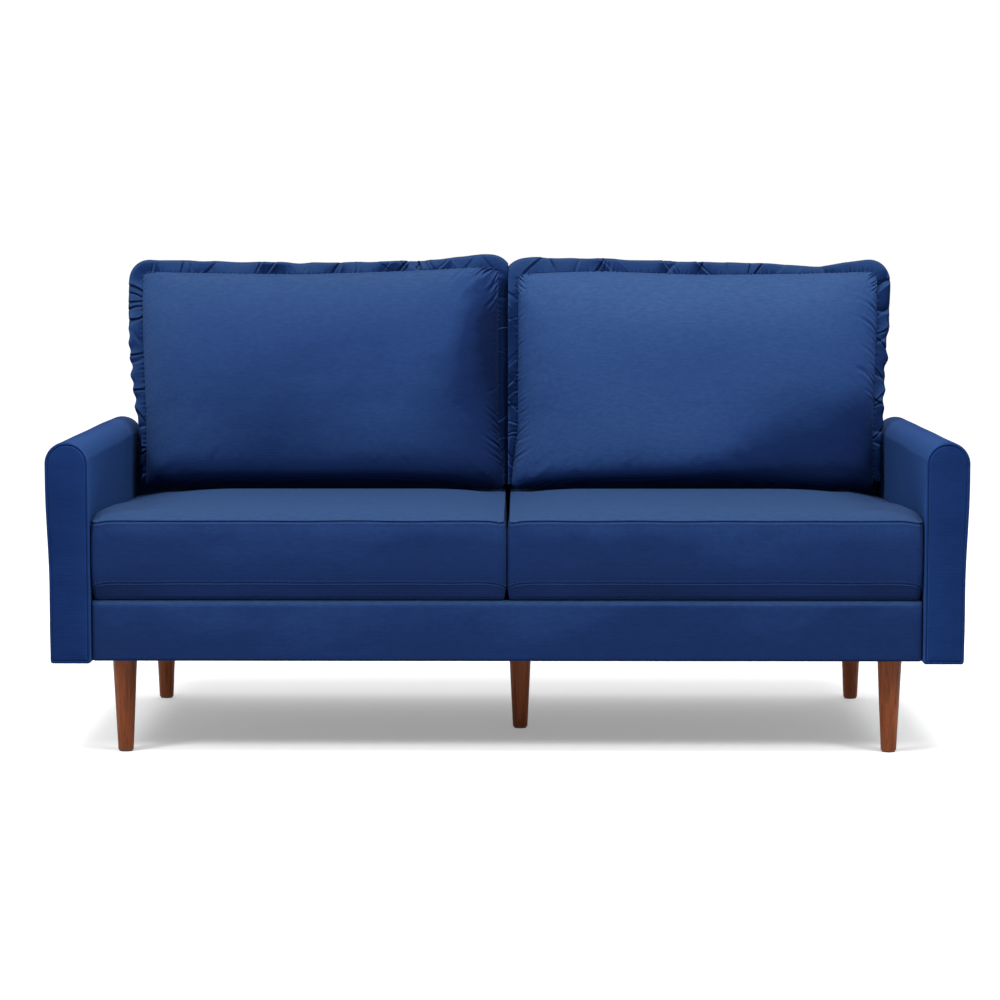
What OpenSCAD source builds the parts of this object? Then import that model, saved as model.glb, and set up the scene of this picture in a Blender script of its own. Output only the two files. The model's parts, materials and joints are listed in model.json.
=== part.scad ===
// Two-seat sofa on tapered wooden legs, in millimetres.
// +X is to the right of someone facing the sofa, +Y is to the rear, +Z is up.
// The origin is on the floor, under the centre of the sofa.
// The seat box carries two upholstered arms by bolts, and the back panel drops
// onto the box between the arms, where slide brackets hold it. The four
// cushions are loose: the seat cushions pull out forwards, and the back
// cushions lift off.

/* [Overall] */
// Width over the arms
sofa_w = 1770; // [1600:10:2000]
// Depth from the front of the arms to the rear face
sofa_d = 790; // [760:10:850]
// Height of the arms and of the back panel
wall_h = 610; // [590:5:650]
// Thickness of an upholstered arm, and of the back panel
wall_t = 85; // [85:1:95]
// Floor to the underside of the arms
arm_clear_h = 182; // [170:1:190]

/* [Seat box] */
// How far the front rail stands back from the front of the arms
rail_setback = 12; // [8:1:20]
// Floor to the underside of the seat box
box_clear_h = 186; // [186:1:192]
// Floor to the deck that the seat cushions lie on
deck_h = 304; // [300:1:312]
// Thickness of the seat box rails
rail_t = 25; // [22:1:28]
// Height of the seat box rails
rail_h = 98; // [90:1:98]

/* [Legs] */
// Diameter of a leg at its top
leg_top_d = 48; // [40:1:52]
// Diameter of a leg at its foot
leg_foot_d = 30; // [28:1:36]
// Inner face of an arm to the axis of a corner leg
leg_inset_x = 55; // [50:1:70]
// Front of the arms to the axis of a front leg
leg_inset_front = 78; // [74:1:90]
// Rear face to the axis of a rear leg
leg_inset_rear = 66; // [62:1:70]
// Place of the centre leg, which stands beside the centre rail
leg_centre = [26, -48]; // [-60:1:60]
// Diameter of the glide under each leg
glide_d = 26; // [20:1:27]
// Thickness of the glide under each leg
glide_h = 3; // [2:0.5:5]

/* [Springs] */
// Sinuous springs under each seat
springs_per_seat = 5; // [4:1:5]
// Diameter of the spring wire
wire_d = 3.6; // [3:0.2:3.8]
// Width of a spring over its loops, on the wire's centre line
spring_w = 50; // [44:1:60]
// Number of bars in a spring
spring_bars = 23; // [19:2:27]

/* [Cushions] */
// Floor to the flat top of a seat cushion
seat_top_h = 466; // [440:1:480]
// Floor to the top of the back cushions' flanges
cushion_top_h = 950; // [900:5:990]
// Thickness of a back cushion at its middle
back_cushion_t = 160; // [130:5:165]
// Lean of the back cushions from upright, in degrees
lean = 9; // [8:0.5:10]
// Width of the flange round a back cushion
flange_w = 35; // [20:1:45]

/* [Upholstery] */
// Thickness of the velvet cover
cloth_t = 1.5; // [1:0.1:1.6]
// Clearance between layers that lie on each other
gap = 0.25; // [0.2:0.05:0.3]
// Thickness of the timber frame inside an arm or the back panel
core_t = 45; // [40:1:47]

/* [Hidden] */
$fn = 48;

LEFT = -1;
RIGHT = 1;
VELVET = [0.11, 0.22, 0.47];
WALNUT = [0.42, 0.23, 0.13];
TIMBER = [0.80, 0.66, 0.46];
BOARD = [0.48, 0.34, 0.22];
FOAM = [0.93, 0.88, 0.72];
FIBRE = [0.95, 0.95, 0.93];
STEEL = [0.62, 0.63, 0.65];
CAMBRIC = [0.09, 0.09, 0.10];
WEBBING = [0.76, 0.70, 0.58];

// Outer faces of the sofa and inner faces of the arms
half_w = sofa_w / 2;
half_d = sofa_d / 2;
inner_x = half_w - wall_t;

// A cloth layer with its clearance
skin = cloth_t + gap;

// Clearance of a drilled or cut fit, and of one that grips
fit = 0.1;
snug = 0.05;

// How far a cut runs past the face that it opens
over = 1;

// Foam and cloth over the ends of the frames, and over the front rail
end_padding = 20;
rail_padding = 6;

// Seat box: rails inside the cloth
box_side_gap = 3;
box_x = inner_x - box_side_gap;
box_front = -half_d + rail_setback + rail_padding;
box_rear = half_d - end_padding;
dust_cloth_z = [box_clear_h + 0.7, box_clear_h + 2];
rail_z = [dust_cloth_z[1] + 0.6, dust_cloth_z[1] + 0.6 + rail_h];
panel_front = half_d - wall_t;
spring_rail_y = [panel_front - 2 - rail_t, panel_front - 2];
centre_rail_drop = 18;

// Arm frame, across and along the arm
core_x = [-half_w + (wall_t - core_t) / 2, -half_w + (wall_t + core_t) / 2];
board_t = 3;
stud_x = [core_x[0] + board_t, core_x[1] - board_t];
post_t = 30;
arm_end = half_d - end_padding;
arm_z0 = arm_clear_h + 4;
top_padding = 37;
core_top = wall_h - top_padding;
top_rail_t = 25;
arm_bottom_rail_h = 90;

// Bolts that hold the arms to the seat box
bolt_r = 4;
bolt_hole_r = 4.5;
arm_bolt_y = [-250, 0, 230];
arm_bolt_z = 238;
bolt_head_r = 8.5;
bolt_head_t = 3;
bolt_socket_r = 3;
bolt_tip_x = -half_w + 25;

// T-nuts: a flange on the face of the timber and a barrel in a bore
nut_flange_r = 10.5;
nut_flange_t = 1.5;
nut_barrel_r = 5;
nut_barrel_l = 9;
nut_bore_r = 4.1;
nut_room = 0.5;

// Legs
leg_top = box_clear_h + 0.4;
leg_x = inner_x - leg_inset_x;
leg_front_y = -half_d + leg_inset_front;
leg_rear_y = half_d - leg_inset_rear;
LEG_PLACES = [
    [-leg_x, leg_front_y], [leg_x, leg_front_y],
    [-leg_x, leg_rear_y], [leg_x, leg_rear_y], leg_centre
];
block_t = 35;
block_w = 82;
centre_block_l = 57;
hanger_in_leg = 32;
hanger_above_block = 4;
glide_nail_r = 1.2;
glide_nail_l = 14;

// Springs run from the front rail to the spring rail
spring_y0 = box_front + rail_t / 2;
spring_pitch = (spring_rail_y[0] + rail_t / 2 - spring_y0) / (spring_bars - 1);
bar_l = spring_w - spring_pitch;
clip_t = 1.2;
clip_w = 24;
clip_foot = 9;
clip_lip = 5;
clip_reach = wire_d / 2 + 1.5;
wire_z = rail_z[1] + clip_t + 0.3 + wire_d / 2;
clip_z = [rail_z[1] + fit, wire_z + wire_d / 2 + 0.2];
spring_step = inner_x / springs_per_seat;

// Layers of the deck, from the springs up
pad_t = 2;
pad_z = [clip_z[1] + clip_t + 0.4, clip_z[1] + clip_t + 0.4 + pad_t];
deck_cloth_z = [deck_h - cloth_t, deck_h];
deck_foam_z = [pad_z[1] + gap, deck_cloth_z[0] - gap];

// Back panel frame, between the arms with room for the brackets
panel_side_gap = 5;
panel_x = inner_x - panel_side_gap;
panel_core_y = [half_d - end_padding - core_t, half_d - end_padding];
panel_z0 = rail_z[1] + 0.4;
skirt_y = box_rear + 2;
strap_w = 60;
strap_t = 1.5;
strap_end_gap = 4;
straps = 8;
long_strap_z = [panel_z0 + 90, panel_z0 + 190];

// Slide brackets: a channel on each arm, with a slot between its two lips, and a
// tongue on the panel whose raised middle stands in that slot
channel_x = [-inner_x + 0.2, -panel_x - 0.4];
channel_back_t = 1.5;
channel_lip_t = 1;
channel_lip_w = 9;
channel_wall_t = 2;
channel_foot_t = 4;
channel_y = [panel_core_y[0] + 2, panel_core_y[1] - 3];
slot_x = [channel_x[0] + channel_back_t, channel_x[1] - channel_lip_t];
tongue_gap = 0.2;
tongue_side_gap = 2;
tongue_z = [400, 520];

// Cushions
seat_cushion_x = [1, inner_x - 1.5];
seat_cushion_y = [-half_d + 2, panel_front - 4];
seat_cushion_z = [deck_h + 0.3, seat_top_h];
back_cushion_x = [1.5, inner_x - 1.5];
back_cushion_h = (cushion_top_h - seat_top_h - 0.6) / cos(lean) - 2;
back_cushion_foot_y = panel_front - 95;
flange_t = 5;
seat_front_r = 22;
seat_side_r = 16;
flange_corner_r = 22;

// A box between two values on each axis
module block(x, y, z)
    translate([x[0], y[0], z[0]]) cube([x[1] - x[0], y[1] - y[0], z[1] - z[0]]);

// Builds the left part as drawn, or its mirror image on the right
module on(side)
    mirror([side == RIGHT ? 1 : 0, 0, 0]) children();

// Stretches a section drawn in Y and Z along X
module along_x(x)
    translate([x[0], 0, 0]) rotate([90, 0, 90]) linear_extrude(x[1] - x[0]) children();

// Stretches a section drawn in X and Z along Y
module along_y(y)
    translate([0, y[1], 0]) rotate([90, 0, 0]) linear_extrude(y[1] - y[0]) children();

// Section of a wall with a half-round top, from u[0] to u[1] and z[0] to z[1]
module bullnose(u, z) {
    r = (u[1] - u[0]) / 2;
    polygon(concat(
        [[u[1], z[0]]],
        [for (a = [0:7.5:180]) [u[0] + r + r * cos(a), z[1] - r + r * sin(a)]],
        [[u[0], z[0]]]
    ));
}

// Points of a rectangle whose corners are rounded by r
function rounded(lo, hi, r, steps = 6) = [
    for (c = [[hi[0] - r, hi[1] - r, 0], [lo[0] + r, hi[1] - r, 90],
              [lo[0] + r, lo[1] + r, 180], [hi[0] - r, lo[1] + r, 270]])
        for (i = [0:steps])
            let (a = c[2] + 90 * i / steps) [c[0] + r * cos(a), c[1] + r * sin(a)]
];

// Points of a pillow's section: a superellipse of half-widths a and b
function pillow_section(a, b, power = 2.6, steps = 40) = [
    for (i = [0:steps - 1])
        let (t = 360 * i / steps, c = cos(t), s = sin(t))
            [a * sign(c) * pow(abs(c), 2 / power), b * sign(s) * pow(abs(s), 2 / power)]
];

// ---------------------------------------------------------------- legs

module leg_bolt_axis(i)
    translate([LEG_PLACES[i][0], LEG_PLACES[i][1], 0]) children();

module leg(i)
    color(WALNUT) leg_bolt_axis(i)
        difference() {
            translate([0, 0, glide_h + gap])
                cylinder(d1 = leg_foot_d, d2 = leg_top_d, h = leg_top - glide_h - gap);
            translate([0, 0, leg_top - hanger_in_leg - over])
                cylinder(r = bolt_r + snug, h = hanger_in_leg + 2 * over);
            cylinder(r = glide_nail_r + snug, h = glide_h + glide_nail_l + over);
        }

module leg_glides()
    color(CAMBRIC)
        for (i = [0:4]) leg_bolt_axis(i) {
            cylinder(d = glide_d, h = glide_h);
            cylinder(r = glide_nail_r, h = glide_h + glide_nail_l);
        }

module leg_hanger_bolts()
    color(STEEL)
        for (i = [0:4]) leg_bolt_axis(i)
            translate([0, 0, leg_top - hanger_in_leg])
                cylinder(r = bolt_r,
                    h = hanger_in_leg + rail_z[0] - leg_top + block_t + hanger_above_block);

module t_nut() {
    difference() {
        union() {
            cylinder(r = nut_flange_r, h = nut_flange_t);
            translate([0, 0, -nut_barrel_l]) cylinder(r = nut_barrel_r, h = nut_barrel_l + nut_flange_t / 2);
        }
        translate([0, 0, -nut_barrel_l - over])
            cylinder(r = nut_bore_r, h = nut_barrel_l + nut_flange_t + 2 * over);
    }
}

module t_nuts()
    color(STEEL) {
        for (i = [0:4]) leg_bolt_axis(i)
            translate([0, 0, rail_z[0] + block_t + fit]) t_nut();
        for (side = [LEFT, RIGHT]) on(side)
            for (y = arm_bolt_y)
                translate([stud_x[0] - fit, y, arm_bolt_z]) rotate([0, -90, 0]) t_nut();
    }

// Bores for the hanger bolts and the barrels of their nuts
module leg_bolt_bores()
    for (i = [0:4]) leg_bolt_axis(i) {
        cylinder(r = bolt_hole_r, h = wall_h);
        translate([0, 0, rail_z[0] + block_t - nut_barrel_l - nut_room])
            cylinder(r = nut_barrel_r + fit, h = nut_barrel_l + nut_room + over);
    }

// ------------------------------------------------------------ seat box

module arm_bolt_bores(x, r)
    for (y = arm_bolt_y)
        translate([x[0], y, arm_bolt_z]) rotate([0, 90, 0]) cylinder(r = r, h = x[1] - x[0]);

module base_front_rail()
    color(TIMBER) block([-box_x, box_x], [box_front, box_front + rail_t], rail_z);

module base_rear_rail()
    color(TIMBER) block([-box_x, box_x], [box_rear - rail_t, box_rear], rail_z);

module base_spring_rail()
    color(TIMBER) block([-box_x + rail_t, box_x - rail_t], spring_rail_y, rail_z);

module base_side_rail(side)
    color(TIMBER) on(side)
        difference() {
            block([-box_x, -box_x + rail_t], [box_front + rail_t, box_rear - rail_t], rail_z);
            arm_bolt_bores([-box_x - over, -box_x + rail_t + over], bolt_hole_r);
        }

module base_centre_rail()
    color(TIMBER)
        block([-rail_t / 2, rail_t / 2], [box_front + rail_t, spring_rail_y[0]],
            [rail_z[0], rail_z[1] - centre_rail_drop]);

module base_corner_blocks()
    color(TIMBER) {
        z = [rail_z[0], rail_z[0] + block_t];
        difference() {
            union() {
                for (side = [LEFT, RIGHT]) on(side) {
                    x = [-box_x + rail_t, -box_x + rail_t + block_w];
                    block(x, [box_front + rail_t, box_front + rail_t + block_w], z);
                    block(x, [spring_rail_y[1], box_rear - rail_t], z);
                }
                block([rail_t / 2, rail_t / 2 + centre_block_l],
                    [leg_centre[1] - block_w / 2, leg_centre[1] + block_w / 2], z);
            }
            leg_bolt_bores();
        }
    }

// One spring: straight bars joined by half-round bends, alternately left and right
module sinuous_spring()
    for (i = [0:spring_bars - 1]) {
        y = spring_y0 + i * spring_pitch;
        end = i % 2 == 0 ? 1 : -1;
        translate([-bar_l / 2, y, 0]) rotate([0, 90, 0]) cylinder(d = wire_d, h = bar_l);
        if (i < spring_bars - 1)
            translate([end * bar_l / 2, y + spring_pitch / 2, 0])
                rotate([0, 0, end > 0 ? -90 : 90])
                    rotate_extrude(angle = 180) translate([spring_pitch / 2, 0]) circle(d = wire_d);
    }

module at_each_spring()
    for (i = [0:2 * springs_per_seat - 1])
        translate([-inner_x + (i + 0.5) * spring_step, 0, 0]) children();

module sinuous_springs()
    color(STEEL) at_each_spring() translate([0, 0, wire_z]) sinuous_spring();

// A folded steel clip that holds the end bar of a spring; dir is the way it opens
module spring_clip(y, dir)
    along_x([-clip_w / 2, clip_w / 2])
        polygon([
            for (p = [[-clip_reach - clip_t, clip_z[0]], [clip_foot, clip_z[0]],
                      [clip_foot, clip_z[0] + clip_t], [-clip_reach, clip_z[0] + clip_t],
                      [-clip_reach, clip_z[1]], [clip_lip, clip_z[1]],
                      [clip_lip, clip_z[1] + clip_t], [-clip_reach - clip_t, clip_z[1] + clip_t]])
                [y + dir * p[0], p[1]]
        ]);

module spring_clips()
    color(STEEL) at_each_spring() {
        spring_clip(spring_y0, 1);
        spring_clip(spring_rail_y[0] + rail_t / 2, -1);
    }

module spring_pad()
    color(FIBRE)
        block([-box_x, box_x], [box_front + 2, panel_front - 1], pad_z);

// Foam over the deck that turns down over the front rail
module deck_foam()
    color(FOAM) {
        y = [box_front - rail_padding + skin, panel_front - 0.5];
        along_x([-box_x, box_x])
            polygon([
                [y[0], box_clear_h + skin], [y[0], deck_foam_z[1]], [y[1], deck_foam_z[1]],
                [y[1], deck_foam_z[0]], [box_front - gap, deck_foam_z[0]],
                [box_front - gap, box_clear_h + skin]
            ]);
    }

// Deck cloth, behind the velvet that turns over the front rail
module deck_cover()
    color(CAMBRIC)
        block([-box_x, box_x], [box_front + rail_t + gap, panel_front - gap], deck_cloth_z);

// Velvet round the front rail, turned over the deck and under the box
module front_rail_cover()
    color(VELVET) {
        face = -half_d + rail_setback;
        under = box_front + rail_t;
        along_x([-inner_x + 1, inner_x - 1])
            polygon([
                [face, box_clear_h], [under, box_clear_h], [under, box_clear_h + cloth_t],
                [face + cloth_t, box_clear_h + cloth_t], [face + cloth_t, deck_cloth_z[0]],
                [under, deck_cloth_z[0]], [under, deck_h], [face, deck_h]
            ]);
    }

// Dust cloth under the seat box, with a hole for each hanger bolt
module dust_cover()
    color(CAMBRIC)
        difference() {
            block([-box_x, box_x], [box_front + rail_t + gap, box_rear], dust_cloth_z);
            leg_bolt_bores();
        }

// ---------------------------------------------------------------- arms

// The space that the arm's frame and boards fill
module arm_core(grow = 0)
    block([core_x[0] - grow, core_x[1] + grow], [-arm_end - grow, arm_end + grow],
        [arm_clear_h - over, core_top + grow]);

// The arm's outer form, shrunk by inset on its sides, top and ends
module arm_form(inset, z0, front = 0)
    along_y([-half_d + max(inset, front), half_d - inset])
        bullnose([-half_w + inset, -inner_x - inset], [z0, wall_h - inset]);

module arm_post(side, y)
    color(TIMBER) on(side)
        block(stud_x, y, [arm_z0, core_top - top_rail_t]);

module arm_front_post(side) arm_post(side, [-arm_end, -arm_end + post_t]);

module arm_rear_post(side) arm_post(side, [arm_end - post_t, arm_end]);

module arm_top_rail(side)
    color(TIMBER) on(side)
        block(stud_x, [-arm_end, arm_end], [core_top - top_rail_t, core_top]);

module arm_bottom_rail(side)
    color(TIMBER) on(side)
        difference() {
            block(stud_x, [-arm_end + post_t, arm_end - post_t],
                [arm_z0, arm_z0 + arm_bottom_rail_h]);
            arm_bolt_bores([stud_x[0] - over, stud_x[1] + over], bolt_hole_r);
            arm_bolt_bores([stud_x[0] - over, stud_x[0] + nut_barrel_l + nut_room],
                nut_barrel_r + fit);
        }

// Hardboard on both sides of the arm's frame
module arm_boards(side)
    color(BOARD) on(side)
        difference() {
            for (x = [[core_x[0], stud_x[0]], [stud_x[1], core_x[1]]])
                block(x, [-arm_end, arm_end], [arm_z0, core_top]);
            arm_bolt_bores([core_x[0] - over, stud_x[0] + over], nut_flange_r + nut_room);
            arm_bolt_bores([stud_x[1] - over, core_x[1] + over], bolt_hole_r);
        }

module arm_foam(side)
    color(FOAM) on(side)
        difference() {
            arm_form(skin, arm_clear_h + 1, cloth_t + 2 * gap);
            arm_core(gap);
            arm_bolt_bores([core_x[1] - over, -inner_x + over], bolt_hole_r);
        }

module arm_cover(side)
    color(VELVET) on(side)
        difference() {
            arm_form(0, arm_clear_h, cloth_t + gap);
            along_y([-half_d - over, half_d - cloth_t])
                bullnose([-half_w + cloth_t, -inner_x - cloth_t],
                    [arm_clear_h - over, wall_h - cloth_t]);
            arm_bolt_bores([core_x[1] - over, -inner_x + over], bolt_hole_r);
        }

module arm_front_panel(side)
    color(VELVET) on(side)
        along_y([-half_d, -half_d + cloth_t])
            bullnose([-half_w, -inner_x], [arm_clear_h, wall_h]);

module arm_bolts()
    color(STEEL)
        for (side = [LEFT, RIGHT]) on(side)
            for (y = arm_bolt_y) {
                head_x = -box_x + rail_t;
                translate([0, y, arm_bolt_z]) {
                    translate([bolt_tip_x, 0, 0]) rotate([0, 90, 0])
                        cylinder(r = bolt_r, h = head_x - bolt_tip_x + bolt_head_t / 2);
                    translate([head_x + fit, 0, 0]) rotate([0, 90, 0])
                        difference() {
                            cylinder(r = bolt_head_r, h = bolt_head_t);
                            translate([0, 0, bolt_head_t * 2 / 3])
                                cylinder(r = bolt_socket_r, h = bolt_head_t, $fn = 6);
                        }
                }
            }

// ---------------------------------------------------------- back panel

module back_end_post(side)
    color(TIMBER) on(side)
        block([-panel_x + skin, -panel_x + skin + rail_t], panel_core_y,
            [panel_z0, core_top - top_rail_t]);

module back_centre_post()
    color(TIMBER)
        block([-rail_t / 2, rail_t / 2], panel_core_y,
            [panel_z0 + rail_t, core_top - top_rail_t]);

module back_top_rail()
    color(TIMBER)
        block([-panel_x + skin, panel_x - skin], panel_core_y,
            [core_top - top_rail_t, core_top]);

module back_bottom_rail()
    color(TIMBER)
        block([-panel_x + skin + rail_t, panel_x - skin - rail_t], panel_core_y,
            [panel_z0, panel_z0 + rail_t]);

// Upright straps on the front of the frame, and two long straps over them
module back_webbing()
    color(WEBBING) {
        step = 2 * (panel_x - rail_t) / straps;
        y0 = panel_core_y[0] - gap - strap_t;
        for (i = [0:straps - 1]) {
            x = -panel_x + rail_t + (i + 0.5) * step;
            block([x - strap_w / 2, x + strap_w / 2], [y0, y0 + strap_t],
                [panel_z0 + strap_end_gap, core_top - strap_end_gap]);
        }
        for (z = long_strap_z)
            block([-panel_x + strap_end_gap, panel_x - strap_end_gap],
                [y0 - gap - strap_t, y0 - gap], [z, z + strap_w]);
    }

// The panel's section: a bullnose wall whose rear side runs on down past the seat box
module panel_section(inset, front_z, rear_z) {
    y = [panel_front + inset, half_d - inset];
    bullnose(y, [front_z, wall_h - inset]);
    polygon([[skirt_y, rear_z], [y[1], rear_z], [y[1], wall_h / 2], [skirt_y, wall_h / 2]]);
}

module back_foam()
    color(FOAM)
        difference() {
            along_x([-panel_x + skin, panel_x - skin])
                panel_section(skin, panel_z0, box_clear_h + skin);
            block([-panel_x, panel_x],
                [panel_core_y[0] - 3 * gap - 2 * strap_t, panel_core_y[1] + gap],
                [panel_z0 - over, core_top + gap]);
        }

module back_cover()
    color(VELVET)
        difference() {
            along_x([-panel_x, panel_x]) panel_section(0, panel_z0, box_clear_h);
            along_x([-panel_x + cloth_t, panel_x - cloth_t]) {
                bullnose([panel_front + cloth_t, half_d - cloth_t],
                    [panel_z0 - over, wall_h - cloth_t]);
                polygon([
                    [skirt_y - over, box_clear_h - over],
                    [half_d - cloth_t, box_clear_h - over],
                    [half_d - cloth_t, wall_h / 2], [skirt_y - over, wall_h / 2]
                ]);
            }
        }

// Tongues on the ends of the back panel, each with its raised middle
module back_bracket_tongues()
    color(STEEL)
        for (side = [LEFT, RIGHT]) on(side) {
            face = slot_x[1] - tongue_gap;
            block([slot_x[0] + tongue_gap, face],
                [channel_y[0] + channel_wall_t + tongue_side_gap,
                 channel_y[1] - channel_wall_t - tongue_side_gap], tongue_z);
            block([face - tongue_gap, -panel_x - fit],
                [channel_y[0] + channel_lip_w + tongue_side_gap,
                 channel_y[1] - channel_lip_w - tongue_side_gap], tongue_z);
        }

// Channels on the arms that the tongues slide down into
module arm_bracket_channels()
    color(STEEL)
        for (side = [LEFT, RIGHT]) on(side)
            difference() {
                inside_z = [tongue_z[0] - over, tongue_z[1] + over];
                block(channel_x, channel_y, [tongue_z[0] - channel_foot_t - over, tongue_z[1]]);
                block(slot_x, [channel_y[0] + channel_wall_t, channel_y[1] - channel_wall_t],
                    inside_z);
                block([slot_x[0], channel_x[1] + over],
                    [channel_y[0] + channel_lip_w, channel_y[1] - channel_lip_w], inside_z);
            }

// ------------------------------------------------------------ cushions

// A seat cushion's form, shrunk by inset: rounded in its side and front sections
module seat_cushion_form(inset) {
    x = [-seat_cushion_x[1] + inset, -seat_cushion_x[0] - inset];
    y = [seat_cushion_y[0] + inset, seat_cushion_y[1] - inset];
    z = [seat_cushion_z[0] + inset, seat_cushion_z[1] - inset];
    intersection() {
        along_x(x) polygon(rounded([y[0], z[0]], [y[1], z[1]], seat_front_r - inset));
        along_y(y) polygon(rounded([x[0], z[0]], [x[1], z[1]], seat_side_r - inset));
    }
}

module seat_cushion_cover(side)
    color(VELVET) on(side)
        difference() {
            seat_cushion_form(0);
            seat_cushion_form(cloth_t);
        }

module seat_cushion_foam(side)
    color(FOAM) on(side) seat_cushion_form(skin);

// Sets a back cushion on the seat, leaning on the back panel.
// Its own origin is the middle of its height, with its flange in the XZ plane.
module in_back_place(side)
    on(side)
        translate([-(back_cushion_x[0] + back_cushion_x[1]) / 2, back_cushion_foot_y,
                seat_top_h + 2])
            rotate([-lean, 0, 0]) translate([0, 0, back_cushion_h / 2]) children();

// The cushion's stuffed body, which stands on the seat, shrunk by inset
module back_cushion_form(inset) {
    a = (back_cushion_x[1] - back_cushion_x[0]) / 2 - flange_w - inset;
    b = (back_cushion_h - flange_w) / 2 - inset;
    t = back_cushion_t / 2 - inset;
    translate([0, 0, -flange_w / 2])
        intersection() {
            along_x([-a, a]) polygon(pillow_section(t, b));
            translate([0, 0, -b]) linear_extrude(2 * b) polygon(pillow_section(a, t));
        }
}

module back_cushion_cover(side)
    color(VELVET) in_back_place(side)
        difference() {
            back_cushion_form(0);
            back_cushion_form(cloth_t);
        }

module back_cushion_fill(side)
    color(FIBRE) in_back_place(side) back_cushion_form(skin);

// The flange sewn round the cushion's edge seam: its lower run is folded away underneath
module back_cushion_flange(side)
    color(VELVET) in_back_place(side) {
        a = (back_cushion_x[1] - back_cushion_x[0]) / 2;
        b = back_cushion_h / 2;
        inner = [a - flange_w + gap, b - flange_w + gap];
        along_y([-flange_t / 2, flange_t / 2])
            difference() {
                polygon(rounded([-a, -b], [a, b], flange_corner_r));
                polygon([[-inner[0], -b - over], [inner[0], -b - over], inner,
                         [-inner[0], inner[1]]]);
            }
    }

leg(0);  // leg_front_left
leg(1);  // leg_front_right
leg(2);  // leg_rear_left
leg(3);  // leg_rear_right
leg(4);  // leg_centre
leg_glides();
leg_hanger_bolts();
t_nuts();
base_front_rail();
base_rear_rail();
base_spring_rail();
base_side_rail(LEFT);  // base_left_rail
base_side_rail(RIGHT);  // base_right_rail
base_centre_rail();
base_corner_blocks();
sinuous_springs();
spring_clips();
spring_pad();
deck_foam();
deck_cover();
front_rail_cover();
dust_cover();
arm_front_post(LEFT);  // arm_left_front_post
arm_rear_post(LEFT);  // arm_left_rear_post
arm_top_rail(LEFT);  // arm_left_top_rail
arm_bottom_rail(LEFT);  // arm_left_bottom_rail
arm_boards(LEFT);  // arm_left_boards
arm_foam(LEFT);  // arm_left_foam
arm_cover(LEFT);  // arm_left_cover
arm_front_panel(LEFT);  // arm_left_front_panel
arm_front_post(RIGHT);  // arm_right_front_post
arm_rear_post(RIGHT);  // arm_right_rear_post
arm_top_rail(RIGHT);  // arm_right_top_rail
arm_bottom_rail(RIGHT);  // arm_right_bottom_rail
arm_boards(RIGHT);  // arm_right_boards
arm_foam(RIGHT);  // arm_right_foam
arm_cover(RIGHT);  // arm_right_cover
arm_front_panel(RIGHT);  // arm_right_front_panel
back_end_post(LEFT);  // back_left_post
back_end_post(RIGHT);  // back_right_post
back_centre_post();
back_top_rail();
back_bottom_rail();
back_webbing();
back_foam();
back_cover();
back_bracket_tongues();
arm_bracket_channels();
arm_bolts();
seat_cushion_foam(LEFT);  // seat_cushion_left_foam
seat_cushion_cover(LEFT);  // seat_cushion_left_cover
seat_cushion_foam(RIGHT);  // seat_cushion_right_foam
seat_cushion_cover(RIGHT);  // seat_cushion_right_cover
back_cushion_fill(LEFT);  // back_cushion_left_fill
back_cushion_cover(LEFT);  // back_cushion_left_cover
back_cushion_flange(LEFT);  // back_cushion_left_flange
back_cushion_fill(RIGHT);  // back_cushion_right_fill
back_cushion_cover(RIGHT);  // back_cushion_right_cover
back_cushion_flange(RIGHT);  // back_cushion_right_flange
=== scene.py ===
import json
from math import cos, pi, radians, sin

import bmesh
import bpy
import numpy as np
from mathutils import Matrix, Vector


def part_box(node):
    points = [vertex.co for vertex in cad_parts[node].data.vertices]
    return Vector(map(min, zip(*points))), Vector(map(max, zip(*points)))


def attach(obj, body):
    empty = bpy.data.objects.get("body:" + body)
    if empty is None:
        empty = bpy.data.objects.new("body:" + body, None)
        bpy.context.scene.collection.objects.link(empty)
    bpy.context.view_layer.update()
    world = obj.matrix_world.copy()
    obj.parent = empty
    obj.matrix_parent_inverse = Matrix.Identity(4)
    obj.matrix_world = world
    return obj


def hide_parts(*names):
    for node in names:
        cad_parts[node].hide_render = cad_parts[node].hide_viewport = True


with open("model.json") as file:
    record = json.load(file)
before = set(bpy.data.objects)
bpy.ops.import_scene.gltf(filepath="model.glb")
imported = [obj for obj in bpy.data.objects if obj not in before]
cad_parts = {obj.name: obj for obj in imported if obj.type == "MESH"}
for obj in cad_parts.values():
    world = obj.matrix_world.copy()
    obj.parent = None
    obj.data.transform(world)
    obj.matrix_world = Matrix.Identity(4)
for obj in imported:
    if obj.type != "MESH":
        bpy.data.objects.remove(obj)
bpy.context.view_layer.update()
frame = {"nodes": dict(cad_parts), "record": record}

scene = bpy.context.scene

LEFT, RIGHT = -1, 1
SIDES = {"left": LEFT, "right": RIGHT}

# ------------------------------------------------------------------ sizes, in metres

ARM_LOW, ARM_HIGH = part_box("arm_right_cover")
PANEL_LOW, PANEL_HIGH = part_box("back_cover")
RAIL_LOW, RAIL_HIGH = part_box("front_rail_cover")
SEAT_LOW, SEAT_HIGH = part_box("seat_cushion_right_cover")
DECK_LOW, DECK_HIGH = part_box("deck_cover")
DUST_LOW, DUST_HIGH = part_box("dust_cover")
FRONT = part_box("arm_right_front_panel")[0].y

ARM_TAPER = 0.006       # the arm's outer side draws in by this much towards its foot
SEAM_DEPTH = 0.0024     # how far a sewn seam sinks
SEAM_WIDTH = 0.0020     # how wide its groove is

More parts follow.
